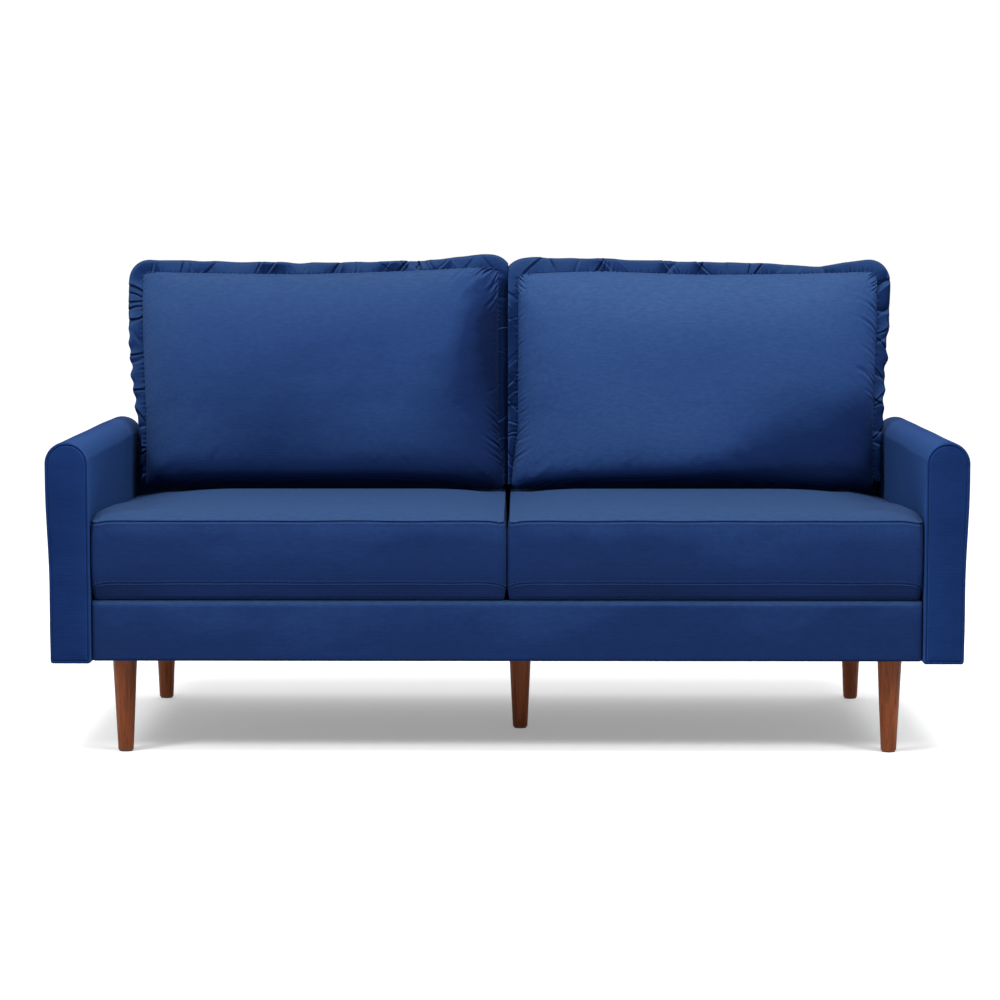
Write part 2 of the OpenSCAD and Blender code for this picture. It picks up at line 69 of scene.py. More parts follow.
SEAT_FRONT_SEAM = 0.4595    # height of a seat cushion's top seam at the front
SEAT_REAR_SEAM = 0.444      # and at the rear by the arm
SEAT_LOWER_SEAM = 0.338
SEAT_CROWN = 0.4755         # height of the middle of its top
SEAT_CORNER = 0.016         # radius of its corners, seen from above
SEAT_PARTING = 0.0042       # how far its inner corners stand off its neighbour
PUCKER_PITCH = 0.0105       # of the fine folds at the top seam
GATHER_PITCH = 0.0075       # and at the lower seam

LEAN = radians(9)           # how far the back cushions lean back
ROOM = 0.33                 # how bright the room in front is, against a white of 1
CUSHION_FOOT = (0.2135, 0.4655)    # Y and Z where a back cushion's mid plane meets the seat
CUSHION_HALF = 0.3825       # half a back cushion's width
CUSHION_MIDDLE = 0.4035     # X of its middle
CUSHION_H = 0.464           # its height, along its lean
CUSHION_UP = np.array([0.0, sin(LEAN), cos(LEAN)])
CUSHION_FORWARD = np.array([0.0, -cos(LEAN), sin(LEAN)])
FRONT_SWELL = 0.079         # how far its panels stand out before the cloth simulation
REAR_SWELL = 0.068
CLOTH_STEP = 0.0058     # size of a cell of the simulated velvet
PANEL_CORNER = 0.035    # radius of a back cushion's corners in its flat pattern
MIDDLE_GAP = 0.0009     # half the least gap between the two back cushions
SWELLING = 0.006        # the most that the cloth simulation may swell a cushion
FOLDS = 0.0030          # and the most that its folds may stand out
# A back cushion's top seam above its plain height, and its flange's width along the top and
# down the outer side, at distances from the sofa's middle (or heights above the floor).
TOP_SEAM = {
    LEFT: ((0.02, 0.06, 0.10, 0.25, 0.445, 0.60, 0.78),
           (0.008, 0.012, 0.010, 0.003, -0.003, -0.001, 0.002)),
    RIGHT: ((0.03, 0.10, 0.196, 0.30, 0.41, 0.60, 0.76),
            (-0.003, 0.001, 0.004, 0.000, -0.004, -0.002, 0.002)),
}
TOP_FLANGE = {
    LEFT: ((0.02, 0.08, 0.146, 0.25, 0.445, 0.78), (0.031, 0.028, 0.021, 0.022, 0.025, 0.027)),
    RIGHT: ((0.05, 0.10, 0.196, 0.41, 0.55, 0.64, 0.68, 0.73, 0.79),
            (0.036, 0.032, 0.027, 0.028, 0.024, 0.016, 0.015, 0.023, 0.031)),
}
SIDE_FLANGE = {
    LEFT: ((0.55, 0.591, 0.622, 0.654, 0.76, 0.92), (0.010, 0.014, 0.019, 0.024, 0.030, 0.031)),
    RIGHT: ((0.55, 0.60, 0.655, 0.724, 0.803, 0.90), (0.017, 0.022, 0.0225, 0.0225, 0.026, 0.030)),
}
PRESSED_SEAT = 0.4625              # height of the seat under a back cushion
PRESSED_Y = (0.125, 0.205)         # where the seat's top starts to be pressed, and is fully


# ------------------------------------------------------------------ meshes

def add_object(name, data):
    item = bpy.data.objects.new(name, data)
    scene.collection.objects.link(item)
    return item


def add_mesh(name, points, faces):
    mesh = bpy.data.meshes.new(name)
    mesh.from_pydata(np.asarray(points).reshape(-1, 3).tolist(), [], faces)
    return add_object(name, mesh)


def recalculate(piece):
    """Turns every face of a closed mesh outwards."""
    work = bmesh.new()
    work.from_mesh(piece.data)
    bmesh.ops.recalc_face_normals(work, faces=work.faces)
    work.to_mesh(piece.data)
    work.free()


def make_piece(name, points, faces, material, body):
    """A smooth mesh from points and faces that rides on a CAD body."""
    piece = add_mesh(name, points, faces)
    piece.data.validate()
    piece.data.shade_smooth()
    piece.data.materials.append(material)
    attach(piece, body)
    return piece


def ring_faces(rings, count, first=0):
    """Quads between successive closed rings of count points each."""
    faces = []
    for r in range(rings - 1):
        a, b = first + r * count, first + (r + 1) * count
        for i in range(count):
            j = (i + 1) % count
            faces.append((a + i, a + j, b + j, b + i))
    return faces


def tube_faces(rings, count, first=0):
    """ring_faces, with a flat face over either end."""
    start = tuple(range(first, first + count))
    last = first + (rings - 1) * count
    return ring_faces(rings, count, first) + [start[::-1], tuple(range(last, last + count))]


def grid_quads(rows, cols):
    """Quads of a grid of points that is numbered row by row."""
    return [(i, i + 1, i + cols + 1, i + cols)
            for r in range(rows - 1) for i in range(r * cols, r * cols + cols - 1)]


def two_panels(rows, cols, rear_of):
    """Quads of a grid and of a second panel behind it; rear_of gives its points."""
    faces = []
    for quad in grid_quads(rows, cols):
        faces += [quad, tuple(int(rear_of[i]) for i in quad[::-1])]
    return faces


def run_along(points):
    """How far along a line each of its points is."""
    return np.concatenate([[0], np.cumsum(np.linalg.norm(np.diff(points, axis=0), axis=1))])


def unit(vectors):
    return vectors / np.maximum(np.linalg.norm(vectors, axis=-1, keepdims=True), 1e-12)


def in_plan(x, y):
    """Points at height 0, for noise that depends on X and Y only."""
    return np.stack([x, y, np.zeros_like(x)], -1)


def round_corners(x, y, half_x, half_y, r):
    """Moves the corners of a rectangular grid of points onto arcs of radius r."""
    for sx in (-1, 1):
        for sy in (-1, 1):
            p, q = (x * sx - (half_x - r)) / r, (y * sy - (half_y - r)) / r
            inside = (p > 0) & (q > 0)
            p, q = np.clip(p, 0, 1), np.clip(q, 0, 1)
            x = np.where(inside, sx * (half_x - r + p * np.sqrt(1 - q * q / 2) * r), x)
            y = np.where(inside, sy * (half_y - r + q * np.sqrt(1 - p * p / 2) * r), y)
    return x, y


def edge_loop(rows, cols):
    """Indices of a grid's rim, going round it once."""
    grid = np.arange(rows * cols).reshape(rows, cols)
    return np.concatenate([grid[0, :-1], grid[:-1, -1], grid[-1, :0:-1], grid[:0:-1, 0]])


def pair_cap(count, first, flip):
    """Quads that close a symmetric ring across its middle."""
    faces = []
    for i in range(count // 2 - 1):
        quad = (first + i, first + i + 1, first + count - 2 - i, first + count - 1 - i)
        faces.append(quad[::-1] if flip else quad)
    return faces


def ripple(points, wavelength, seed):
    """Smooth, repeatable noise of about unit size over an array of points."""
    waves = 10
    rng = np.random.default_rng(seed)
    way = unit(rng.normal(size=(waves, 3)))
    k = way * (2 * pi / wavelength) * rng.uniform(0.7, 1.4, (waves, 1))
    phase = rng.uniform(0, 2 * pi, waves)
    return np.sin(points @ k.T + phase).sum(-1) / np.sqrt(waves / 2)


def wobble(s, wavelength, seed, waves=7):
    """Smooth, repeatable noise of about unit size along a line."""
    rng = np.random.default_rng(seed)
    k = (2 * pi / wavelength) * rng.uniform(0.6, 1.6, waves)
    phase = rng.uniform(0, 2 * pi, waves)
    return np.sin(np.multiply.outer(s, k) + phase).sum(-1) / np.sqrt(waves / 2)


def smooth(x, low, high):
    t = np.clip((x - low) / (high - low), 0, 1)
    return t * t * (3 - 2 * t)


def graded(low, high, fine, coarse, band):
    """Stations from low to high, fine steps within band of either end and coarse between."""
    edge = np.arange(0, band, fine)
    middle = np.linspace(low + band, high - band, max(2, round((high - low - 2 * band) / coarse)))
    return np.concatenate([low + edge, middle, (high - edge)[::-1]])


def ladder(first, growth, largest, total):
    """Distances from 0 to total in steps that start at first and grow up to largest."""
    steps = [0.0]
    step = first
    while steps[-1] + step < total - step * 0.5:
        steps.append(steps[-1] + step)
        step = min(step * growth, largest)
    return np.array(steps + [total])


def bump_at(x, place, width):
    return np.exp(-((x - place) / width) ** 2)


def swell(distance, reach, power=2.6):
    return 1 - (1 - np.clip(distance / reach, 0, 1)) ** power


def normals_of(grid):
    """Outward-facing unit normals of a (rows, closed columns, 3) grid, by differences."""
    across = np.roll(grid, -1, 1) - np.roll(grid, 1, 1)
    along = np.gradient(grid, axis=0)
    return unit(np.cross(across, along))


# ------------------------------------------------------------------ materials

class Nodes:
    """A short way to write the nodes of a material or a world."""

    def __init__(self, owner, coordinates="Object"):
        owner.use_nodes = True
        self.owner = owner
        self.tree = owner.node_tree
        self.place = self.tree.nodes.new("ShaderNodeTexCoord").outputs[coordinates]

    def put(self, socket, value):
        """Links a socket to value, or sets it, with a colour made up to four numbers."""
        if isinstance(value, bpy.types.NodeSocket):
            self.tree.links.new(value, socket)
        elif socket.type == "RGBA" and len(value) == 3:
            socket.default_value = (*value, 1)
        else:
            socket.default_value = value

    def add(self, kind, inputs=None, **settings):
        node = self.tree.nodes.new(kind)
        for key, value in settings.items():
            setattr(node, key, value)
        for key, value in (inputs or {}).items():
            self.put(node.inputs[key], value)
        return node

    def noise(self, scale, detail=3, stretch=(1, 1, 1), roughness=0.55):
        space = self.add("ShaderNodeMapping", {"Vector": self.place, "Scale": stretch})
        return self.add("ShaderNodeTexNoise", {
            "Vector": space.outputs[0], "Scale": scale, "Detail": detail,
            "Roughness": roughness}).outputs["Fac"]

    def wave(self, scale, way, distortion=0.0, detail_scale=1.0):
        """Bands whose phase runs along way."""
        spot = self.add("ShaderNodeVectorMath", {0: self.place, 1: way}, operation="DOT_PRODUCT")
        line = self.add("ShaderNodeCombineXYZ", {"X": spot.outputs["Value"]})
        return self.add("ShaderNodeTexWave", {
            "Vector": line.outputs[0], "Scale": scale, "Distortion": distortion,
            "Detail": 2, "Detail Scale": detail_scale}).outputs["Fac"]

    def ramp(self, factor, *stops):
        node = self.add("ShaderNodeValToRGB", {"Fac": factor})
        ends = node.color_ramp.elements
        while len(ends) < len(stops):
            ends.new(0.5)
        for end, (at, colour) in zip(ends, stops):
            end.position = at
            end.color = (*colour, 1)
        return node.outputs["Color"]

    def mix(self, factor, a, b):
        return self.add("ShaderNodeMix", {0: factor, 6: a, 7: b}, data_type="RGBA").outputs[2]

    def maths(self, operation, a, b=0.0, c=0.0):
        return self.add("ShaderNodeMath", {0: a, 1: b, 2: c}, operation=operation).outputs[0]

    def range(self, value, low, high, new_low, new_high, **settings):
        return self.add("ShaderNodeMapRange", {
            "Value": value, "From Min": low, "From Max": high,
            "To Min": new_low, "To Max": new_high}, **settings).outputs[0]

    def cover(self, below, colour, value, low, high, least, most):
        """Lays colour over what is below it, from least to most as value goes low to high."""
        return self.mix(self.range(value, low, high, least, most), below, colour)

    def spot(self, x, z, reach_x, reach_z):
        """1 at a place on the sofa's front, fading smoothly to 0 at its reach."""
        space = self.add("ShaderNodeMapping", {
            "Vector": self.place, "Location": (-x / reach_x, 0, -z / reach_z),
            "Scale": (1 / reach_x, 0, 1 / reach_z)})
        return self.add("ShaderNodeTexGradient", {"Vector": space.outputs[0]},
                        gradient_type="QUADRATIC_SPHERE").outputs["Fac"]

    def bump(self, height, strength, distance, normal=None):
        inputs = {"Height": height, "Strength": strength, "Distance": distance}
        if normal is not None:
            inputs["Normal"] = normal
        return self.add("ShaderNodeBump", inputs).outputs[0]

    def finish(self, colour, normal=None, **values):
        links = {"Base Color": colour}
        if normal is not None:
            links["Normal"] = normal
        shader = self.tree.nodes["Principled BSDF"]
        for key, value in {**links, **values}.items():
            self.put(shader.inputs[key.replace("_", " ")], value)
        return self.owner


def surface(name):
    return Nodes(bpy.data.materials.new(name))


def velvet_material(name="blue_velvet", gain=1.0, sideways=0.0, paler=0.0, upward=1.0,
                    shade_spots=(), gloss=0.03, darkest_side=-1.0):
    """Short-pile velvet with painted light: its tone is painted paler the more it faces up,
    as if lit from above, and its palest, greyer tones are a painted sheen.

    upward is how strongly it does so; sideways paints it darker where it faces right,
    down to darkest_side, and paler where it faces left, as side light would; paler
    shifts all of this painted shading lighter or darker. Each painted shade spot is (X, Z,
    reach along X, reach along Z, how much paler); the negative ones paint shadows.
    """
    def tone(r, g, b):
        return (r * gain, g * gain, b * gain)

    m = surface(name)
    facing = m.add("ShaderNodeSeparateXYZ", {0: m.add("ShaderNodeNewGeometry").outputs["Normal"]})
    patches = m.noise(4.2, detail=5, stretch=(0.8, 1.0, 1.3))
    streaks = m.noise(26, detail=3, stretch=(0.35, 1.0, 1.0))
    pile = m.noise(1900, detail=2)
    nap = m.maths("ADD", m.maths("MULTIPLY", patches, 0.72), m.maths("MULTIPLY", streaks, 0.28))
    tilt = m.range(nap, 0.35, 0.65, paler - 0.085, paler + 0.085)
    # painted light from above: the tone is painted paler the more the surface faces up
    tilt = m.maths("MULTIPLY_ADD", facing.outputs["Z"], upward, tilt)
    # painted side light: darker where it faces right, paler where it faces left
    across = m.maths("MULTIPLY", facing.outputs["X"], -sideways)
    tilt = m.maths("ADD", m.maths("MAXIMUM", across, darkest_side), tilt)
    # painted shadows at given places on the sofa's front
    for x, z, reach_x, reach_z, change in shade_spots:
        tilt = m.maths("MULTIPLY_ADD", m.spot(x, z, reach_x, reach_z), change, tilt)
    # tone ramp from painted shade to painted light; its palest, greyer stops are a painted sheen
    colour = m.ramp(m.range(tilt, -0.4, 1.0, 0.0, 1.0),
                    (0.00, tone(0.0010, 0.0040, 0.023)), (0.16, tone(0.0032, 0.0108, 0.049)),
                    (0.29, tone(0.0042, 0.0138, 0.060)), (0.46, tone(0.0115, 0.0330, 0.108)),
                    (0.85, tone(0.0205, 0.0470, 0.118)))
    lines = m.wave(92, (0.0, 0.72, 1.0), distortion=2.0, detail_scale=3.0)
    colour = m.cover(colour, tone(0.030, 0.075, 0.20), lines, 0, 1, 0.0, 0.09)
    colour = m.cover(colour, tone(0.003, 0.011, 0.050), pile, 0.3, 0.7, 0.0, 0.25)
    slub = m.noise(230, detail=3, stretch=(0.30, 1.0, 1.0))
    colour = m.cover(colour, tone(0.002, 0.008, 0.038), slub, 0.35, 0.65, 0.0, 0.22)
    rough = m.range(nap, 0.35, 0.65, 0.62, 0.78)
    weave = m.bump(lines, 0.10, 0.0006)
    crease = m.bump(streaks, 0.10, 0.004, weave)
    normal = m.bump(pile, 0.35, 0.0007, crease)
    return m.finish(
        colour, normal, Roughness=rough, Specular_IOR_Level=gloss,
        Sheen_Weight=gloss * 2, Sheen_Roughness=0.34, Sheen_Tint=(0.36, 0.56, 0.96, 1))


def thread_material():
    m = surface("blue_thread")
    twist = m.wave(700, (1.0, 0.7, 0.9))
    tone = m.mix(twist, (0.004, 0.014, 0.055), (0.010, 0.032, 0.110))
    return m.finish(tone, m.bump(twist, 0.5, 0.0003), Roughness=0.6, Specular_IOR_Level=0.15)


def walnut_material():
    """Satin walnut stain over long straight grain."""
    m = surface("walnut_leg")
    drift = m.noise(6, detail=2, stretch=(1, 1, 0.35))
    grain = m.noise(95, detail=7, stretch=(1.0, 1.0, 0.045), roughness=0.62)
    figure = m.noise(24, detail=3, stretch=(1, 1, 0.10))
    pores = m.noise(420, detail=2, stretch=(1, 1, 0.035))
    tone = m.ramp(m.maths("ADD", m.maths("MULTIPLY", grain, 0.6), m.maths("MULTIPLY", figure, 0.4)),
                  (0.34, (0.045, 0.0112, 0.0034)), (0.50, (0.125, 0.0320, 0.0092)),
                  (0.66, (0.215, 0.0600, 0.0180)))
    tone = m.cover(tone, (0.080, 0.0200, 0.0058), drift, 0.35, 0.65, 0.0, 0.35)
    tone = m.cover(tone, (0.014, 0.004, 0.002), pores, 0.60, 0.72, 0.0, 0.75)
    normal = m.bump(m.maths("ADD", grain, m.maths("MULTIPLY", pores, -0.6)), 0.16, 0.0008)
    return m.finish(tone, normal, Roughness=m.range(grain, 0.3, 0.7, 0.30, 0.44),
                    Specular_IOR_Level=0.08, Coat_Weight=0.02, Coat_Roughness=0.25)


def timber_material(way):
    """Planed softwood whose grain runs along one axis."""
    stretch = tuple(0.05 if axis == way else 1.0 for axis in "xyz")
    m = surface("frame_timber_" + way)
    rings = m.noise(30, detail=4, stretch=stretch)
    fibre = m.noise(260, detail=3, stretch=stretch)
    tone = m.ramp(rings, (0.36, (0.44, 0.27, 0.12)), (0.52, (0.64, 0.45, 0.24)),
                  (0.66, (0.74, 0.57, 0.35)))
    tone = m.cover(tone, (0.36, 0.22, 0.10), fibre, 0.45, 0.75, 0.0, 0.4)
    return m.finish(tone, m.bump(fibre, 0.25, 0.0008), Roughness=m.range(rings, 0.3, 0.7, 0.55, 0.75))


def hardboard_material():
    m = surface("hardboard")
    flecks = m.noise(340, detail=5)
    cloud = m.noise(11, detail=3)
    tone = m.cover((0.13, 0.065, 0.030), (0.31, 0.18, 0.09), flecks, 0.35, 0.7, 0, 1)
    tone = m.cover(tone, (0.18, 0.10, 0.05), cloud, 0.3, 0.7, 0, 0.3)
    return m.finish(tone, m.bump(flecks, 0.3, 0.0006), Roughness=0.62)


def foam_material():
    m = surface("cream_foam")
    cells = m.add("ShaderNodeTexVoronoi", {"Vector": m.place, "Scale": 520.0}).outputs["Distance"]
    stain = m.noise(7, detail=3)
    tone = m.cover((0.80, 0.70, 0.46), (0.86, 0.79, 0.58), stain, 0.35, 0.65, 0, 1)
    tone = m.cover(tone, (0.48, 0.40, 0.22), cells, 0.0, 0.35, 0.6, 0.0)
    return m.finish(tone, m.bump(cells, 0.6, 0.0012), Roughness=0.95, Specular_IOR_Level=0.1)


def fibre_material(name, light, dark, scale):
    """Matted or loose fibres, in tufts."""
    m = surface(name)
    hair = m.noise(scale, detail=6, stretch=(1, 0.25, 0.6), roughness=0.7)
    tuft = m.noise(scale * 0.06, detail=3)
    tone = m.cover(dark, light, hair, 0.35, 0.65, 0, 1)
    height = m.maths("ADD", hair, m.maths("MULTIPLY", tuft, 2.0))
    return m.finish(tone, m.bump(height, 0.6, 0.0015), Roughness=0.95,
                    Sheen_Weight=0.2, Specular_IOR_Level=0.1)


def woven_material(name, light, dark, pitch_scale, ways=((1, 0, 0), (0, 1, 1))):
    """Plain weave: two crossing sets of threads."""
    m = surface(name)
    warp = m.wave(pitch_scale, ways[0], distortion=0.6)
    weft = m.wave(pitch_scale, ways[1], distortion=0.6)
    cross = m.maths("MULTIPLY", warp, weft)
    fuzz = m.noise(pitch_scale * 4, detail=3)
    tone = m.cover(dark, light, cross, 0.0, 0.7, 0, 1)
    tone = m.cover(tone, dark, fuzz, 0.4, 0.7, 0, 0.3)
    height = m.maths("ADD", cross, m.maths("MULTIPLY", fuzz, 0.4))
    return m.finish(tone, m.bump(height, 0.5, 0.0008), Roughness=0.9, Specular_IOR_Level=0.15)


def steel_material():
    m = surface("zinc_steel")
    drawn = m.noise(240, detail=4, stretch=(1.0, 0.15, 0.6))
    spangle = m.add("ShaderNodeTexVoronoi", {"Vector": m.place, "Scale": 160.0}).outputs["Distance"]
    tone = m.cover((0.42, 0.43, 0.45), (0.62, 0.63, 0.64), drawn, 0.35, 0.65, 0, 1)
    rough = m.range(m.maths("ADD", drawn, m.maths("MULTIPLY", spangle, 0.3)), 0.3, 0.9, 0.24, 0.48)
    return m.finish(tone, m.bump(drawn, 0.08, 0.0004), Roughness=rough, Metallic=1.0)


def nylon_material():
    m = surface("black_nylon")
    grain = m.noise(900, detail=2)
    scuff = m.noise(60, detail=4)
    tone = m.cover((0.022, 0.022, 0.024), (0.10, 0.10, 0.10), scuff, 0.55, 0.75, 0, 0.5)
    return m.finish(tone, m.bump(grain, 0.2, 0.0003),
                    Roughness=m.range(scuff, 0.3, 0.7, 0.38, 0.6))


def floor_material():
    m = surface("studio_floor")
    cloud = m.noise(1.5, detail=2)
    tone = m.cover((0.89, 0.89, 0.89), (0.90, 0.90, 0.90), cloud, 0.3, 0.7, 0, 1)
    return m.finish(tone, None, Roughness=0.9, Specular_IOR_Level=0.0,
                    Emission_Color=(1, 1, 1, 1), Emission_Strength=0.25)


# plain velvet with painted light: painted paler where it faces up
VELVET = velvet_material()
# Painted shade on the ruffles: shadow spots low by the arms and between the cushions, on a darker copy
# painted paler where its pleats face up and darker where they face right.
RUFFLE_SHADE_SPOTS = [(0.79 * side, 0.49, 0.16, 0.17, -0.9) for side in (LEFT, RIGHT)]
RUFFLE_SHADE_SPOTS.append((-0.012, 0.71, 0.065, 0.28, -0.75))
RUFFLE_VELVET = velvet_material("blue_velvet_ruffle", 0.90, 0.60, -0.16, 2.0, RUFFLE_SHADE_SPOTS,
                                gloss=0.012)
# Painted light on the arms: a copy for each side, painted paler where it faces the sofa's middle and
# darker all over.
ARM_VELVET = {
    side: velvet_material(f"blue_velvet_arm_{name}", 1.32, 0.47 * side, -0.20, 0.34, gloss=0.006,
                          darkest_side=-0.02)
    for name, side in SIDES.items()}
# Painted light on the back cushions: the right one is a paler copy, the left one is painted darker where
# it faces right, and both have painted shadows by the arms, the left one towards the middle too.
LEFT_SHADE_SPOTS = [(-0.046, 0.81, 0.092, 0.26, -0.50), (-0.76, 0.45, 0.34, 0.17, -0.55)]
RIGHT_SHADE_SPOTS = [(0.64, 0.44, 0.42, 0.23, -1.10), (0.80, 0.56, 0.20, 0.22, -0.60)]
CUSHION_VELVET = {
    LEFT: velvet_material("blue_velvet_left", 1.06, 0.55, shade_spots=LEFT_SHADE_SPOTS),
    RIGHT: velvet_material("blue_velvet_right", 1.22, 0.08, 0.20, shade_spots=RIGHT_SHADE_SPOTS)}
THREAD = thread_material()
CAMBRIC = woven_material("black_cambric", (0.045, 0.045, 0.048), (0.010, 0.010, 0.011), 220)
STEEL = steel_material()

CAD_LOOKS = {
    "walnut_leg": walnut_material(),
    "black_nylon": nylon_material(),
    "zinc_steel": STEEL,
    "black_cambric": CAMBRIC,
    "fibre_felt": fibre_material("fibre_felt", (0.74, 0.73, 0.69), (0.50, 0.49, 0.46), 300),
    "fibre_fill": fibre_material("fibre_fill", (0.88, 0.88, 0.86), (0.66, 0.66, 0.65), 140),
    "cream_foam": foam_material(),
    "jute_webbing": woven_material("jute_webbing", (0.56, 0.46, 0.30), (0.26, 0.19, 0.10), 120,
                                   ((1, 0, 0), (0, 0, 1))),
    "hardboard": hardboard_material(),
    "blue_velvet": VELVET,
}
TIMBER = {way: timber_material(way) for way in "xyz"}


def dress_cad_nodes():
    """Gives every CAD node its procedural material; timber grain follows its longest side."""
    slot_of = {s["node"]: s["material_slot"] for s in frame["record"]["subparts"]}
    for name, node in frame["nodes"].items():
        slot = slot_of[name]
        if slot == "frame_timber":
            low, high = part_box(name)
            size = high - low
            look = TIMBER["xyz"[max(range(3), key=lambda axis: size[axis])]]
        else:
            look = CAD_LOOKS[slot]
        node.data.materials.clear()
        node.data.materials.append(look)


# ------------------------------------------------------------------ arms

def arm_outline(inset):
    """The arm's D outline in X and Z, from the middle of its foot round by the outer side.

    Its points are shared out between foot, corner, side and crest alike at every inset.
    """
    half = (ARM_HIGH.x - ARM_LOW.x) / 2 - inset
    foot, crest = ARM_LOW.z + inset, ARM_HIGH.z - inset - half
    r = max(0.006 - inset, 0.0008)
    below, corner, beside, over = ((np.arange(count) + 0.5) / count for count in (13, 6, 93, 38))
    corner, over = corner * pi / 2, over * pi / 2
    right = np.concatenate([
        np.stack([below * (half - r), np.full(len(below), foot)], 1),
        np.stack([half - r + r * np.sin(corner), foot + r - r * np.cos(corner)], 1),
        np.stack([np.full(len(beside), half), foot + r + beside * (crest - foot - r)], 1),
        np.stack([half * np.cos(over), crest + half * np.sin(over)], 1)])
    ring = np.concatenate([right, (right * (-1, 1))[::-1]])
    return ring + ((ARM_LOW.x + ARM_HIGH.x) / 2, 0)


def end_stations(edge_r, seam_at, deepest, dome):
    """(inset, setback) pairs for an end face, from its middle out to the full outline."""
    pairs = []
    for inset in np.linspace(deepest, seam_at + 0.012, 9):
        t = 1 - (inset - seam_at) / (deepest - seam_at)
        pairs.append((inset, -dome * (1 - t ** 2.2)))
    for inset in np.linspace(seam_at + 0.010, seam_at - 0.0034, 15):
        t = np.clip(1 - (inset - seam_at) / (deepest - seam_at), 0, 1)
        groove = SEAM_DEPTH * np.exp(-((inset - seam_at) / (SEAM_WIDTH * 0.62)) ** 2)
        pairs.append((inset, -dome * (1 - t ** 2.2) + groove))
    for a in np.linspace(0.35, pi / 2, 9):
        inset, back = edge_r * (1 - sin(a)), edge_r * (1 - cos(a))
        if inset < seam_at - 0.0036:
            pairs.append((inset, back))
    return pairs


def make_arm(side_name):
    """An arm: half-round top, outer side tapered to the foot, seams round its end panels."""
    side = SIDES[side_name]
    rear = ARM_HIGH.y
    stations = []
    for inset, back in end_stations(0.0075, 0.0062, 0.040, 0.0022):
        stations.append((inset, FRONT + 0.001 + back))
    last = stations[-1][1]
    for y in graded(last + 0.003, rear - 0.016, 0.003, 0.016, 0.03):
        stations.append((0.0, y))
    for inset, back in reversed(end_stations(0.010, 0.0085, 0.040, 0.0015)):
        stations.append((inset, rear - 0.0008 - back))
    grid = np.array([np.insert(arm_outline(inset), 1, y, axis=1) for inset, y in stations])
    count = grid.shape[1]
    z = grid[..., 2]
    outer = smooth(grid[..., 0], (ARM_LOW.x + ARM_HIGH.x) / 2, ARM_HIGH.x)
    grid[..., 0] -= ARM_TAPER * outer * (1 - smooth(z, 0.33, 0.53))
    n = normals_of(grid)
    soft = smooth(z, ARM_LOW.z + 0.01, ARM_LOW.z + 0.08)
    loose = 0.0004 * ripple(grid * (1, 1, 0.6), 0.33, 11 + side) - 0.0005
    grid += n * (loose * soft)[..., None]
    grid[..., 0] = np.maximum(grid[..., 0], ARM_LOW.x + 0.0006)
    grid[..., 0] *= side
    faces = ring_faces(len(stations), count)
    faces += pair_cap(count, 0, False) + pair_cap(count, (len(stations) - 1) * count, True)
    if side == RIGHT:
        faces = [f[::-1] for f in faces]
    piece = make_piece(f"arm_{side_name}_upholstery", grid, faces, ARM_VELVET[side],
                       "sofa_frame")
    recalculate(piece)
    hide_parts(f"arm_{side_name}_cover", f"arm_{side_name}_front_panel",
                f"arm_{side_name}_foam")


# ------------------------------------------------------------------ lengthways covers

def rounded_path(corners, step):
    """A closed line through (u, z, radius) corners, with arcs at them, evenly divided."""
    points = []
    total = len(corners)
    for i, (u, z, r) in enumerate(corners):
        here = np.array([u, z])
        back = np.array(corners[i - 1][:2]) - here
        ahead = np.array(corners[(i + 1) % total][:2]) - here
        back, ahead = unit(back), unit(ahead)
        half_angle = np.arccos(np.clip(back @ ahead, -1, 1)) / 2
        reach = r / np.tan(half_angle)
        centre = here + unit(back + ahead) * (r / np.sin(half_angle))
        a, b = here + back * reach - centre, here + ahead * reach - centre
        turn = pi - 2 * half_angle
        for t in np.linspace(0, 1, max(3, int(turn * r / (step * 0.6)) + 2)):
            w = (np.sin((1 - t) * turn) * a + np.sin(t * turn) * b) / np.sin(turn)
            points.append(centre + w)
    points = np.array(points)
    closed = np.vstack([points, points[:1]])
    run = run_along(closed)
    keep = np.concatenate([[True], np.diff(run) > 1e-7])
    run, closed = run[keep], closed[keep]
    extra = []
    for a, b, pa, pb in zip(run[:-1], run[1:], closed[:-1], closed[1:]):
        parts = max(1, int(round((b - a) / step)))
        extra += [pa + (pb - pa) * k / parts for k in range(parts)]
    return np.array(extra)


def lengthways_cover(name, path, x_low, x_high, shape, replaced):
    """A closed cover that runs along X, its ends rounded off and flat-capped."""
    end_r = 0.004
    count = len(path)
    middle = path.mean(0)
    xs = [(x_low + end_r * (1 - cos(a)), end_r * (1 - sin(a))) for a in np.linspace(0, pi / 2, 5)]
    xs += [(x, 0.0) for x in graded(x_low + end_r * 1.5, x_high - end_r * 1.5, 0.004, 0.014, 0.02)]
    xs += [(x_high - end_r * (1 - cos(a)), end_r * (1 - sin(a)))
           for a in np.linspace(pi / 2, 0, 5)]
    tangent = np.roll(path, -1, 0) - np.roll(path, 1, 0)
    inward = unit(np.stack([-tangent[:, 1], tangent[:, 0]], 1))
    if ((middle - path) * inward).sum() < 0:
        inward = -inward
    grid = np.array([
        np.column_stack([np.full(count, x), path + inward * inset]) for x, inset in xs])
    n = normals_of(grid)
    centre = np.array([(x_low + x_high) / 2, *middle])
    if ((grid - centre) * n).sum() < 0:
        n = -n
    grid = shape(grid, n)
    piece = make_piece(name, grid, tube_faces(len(xs), count), VELVET, "sofa_frame")
    recalculate(piece)
    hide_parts(*replaced)
    return piece


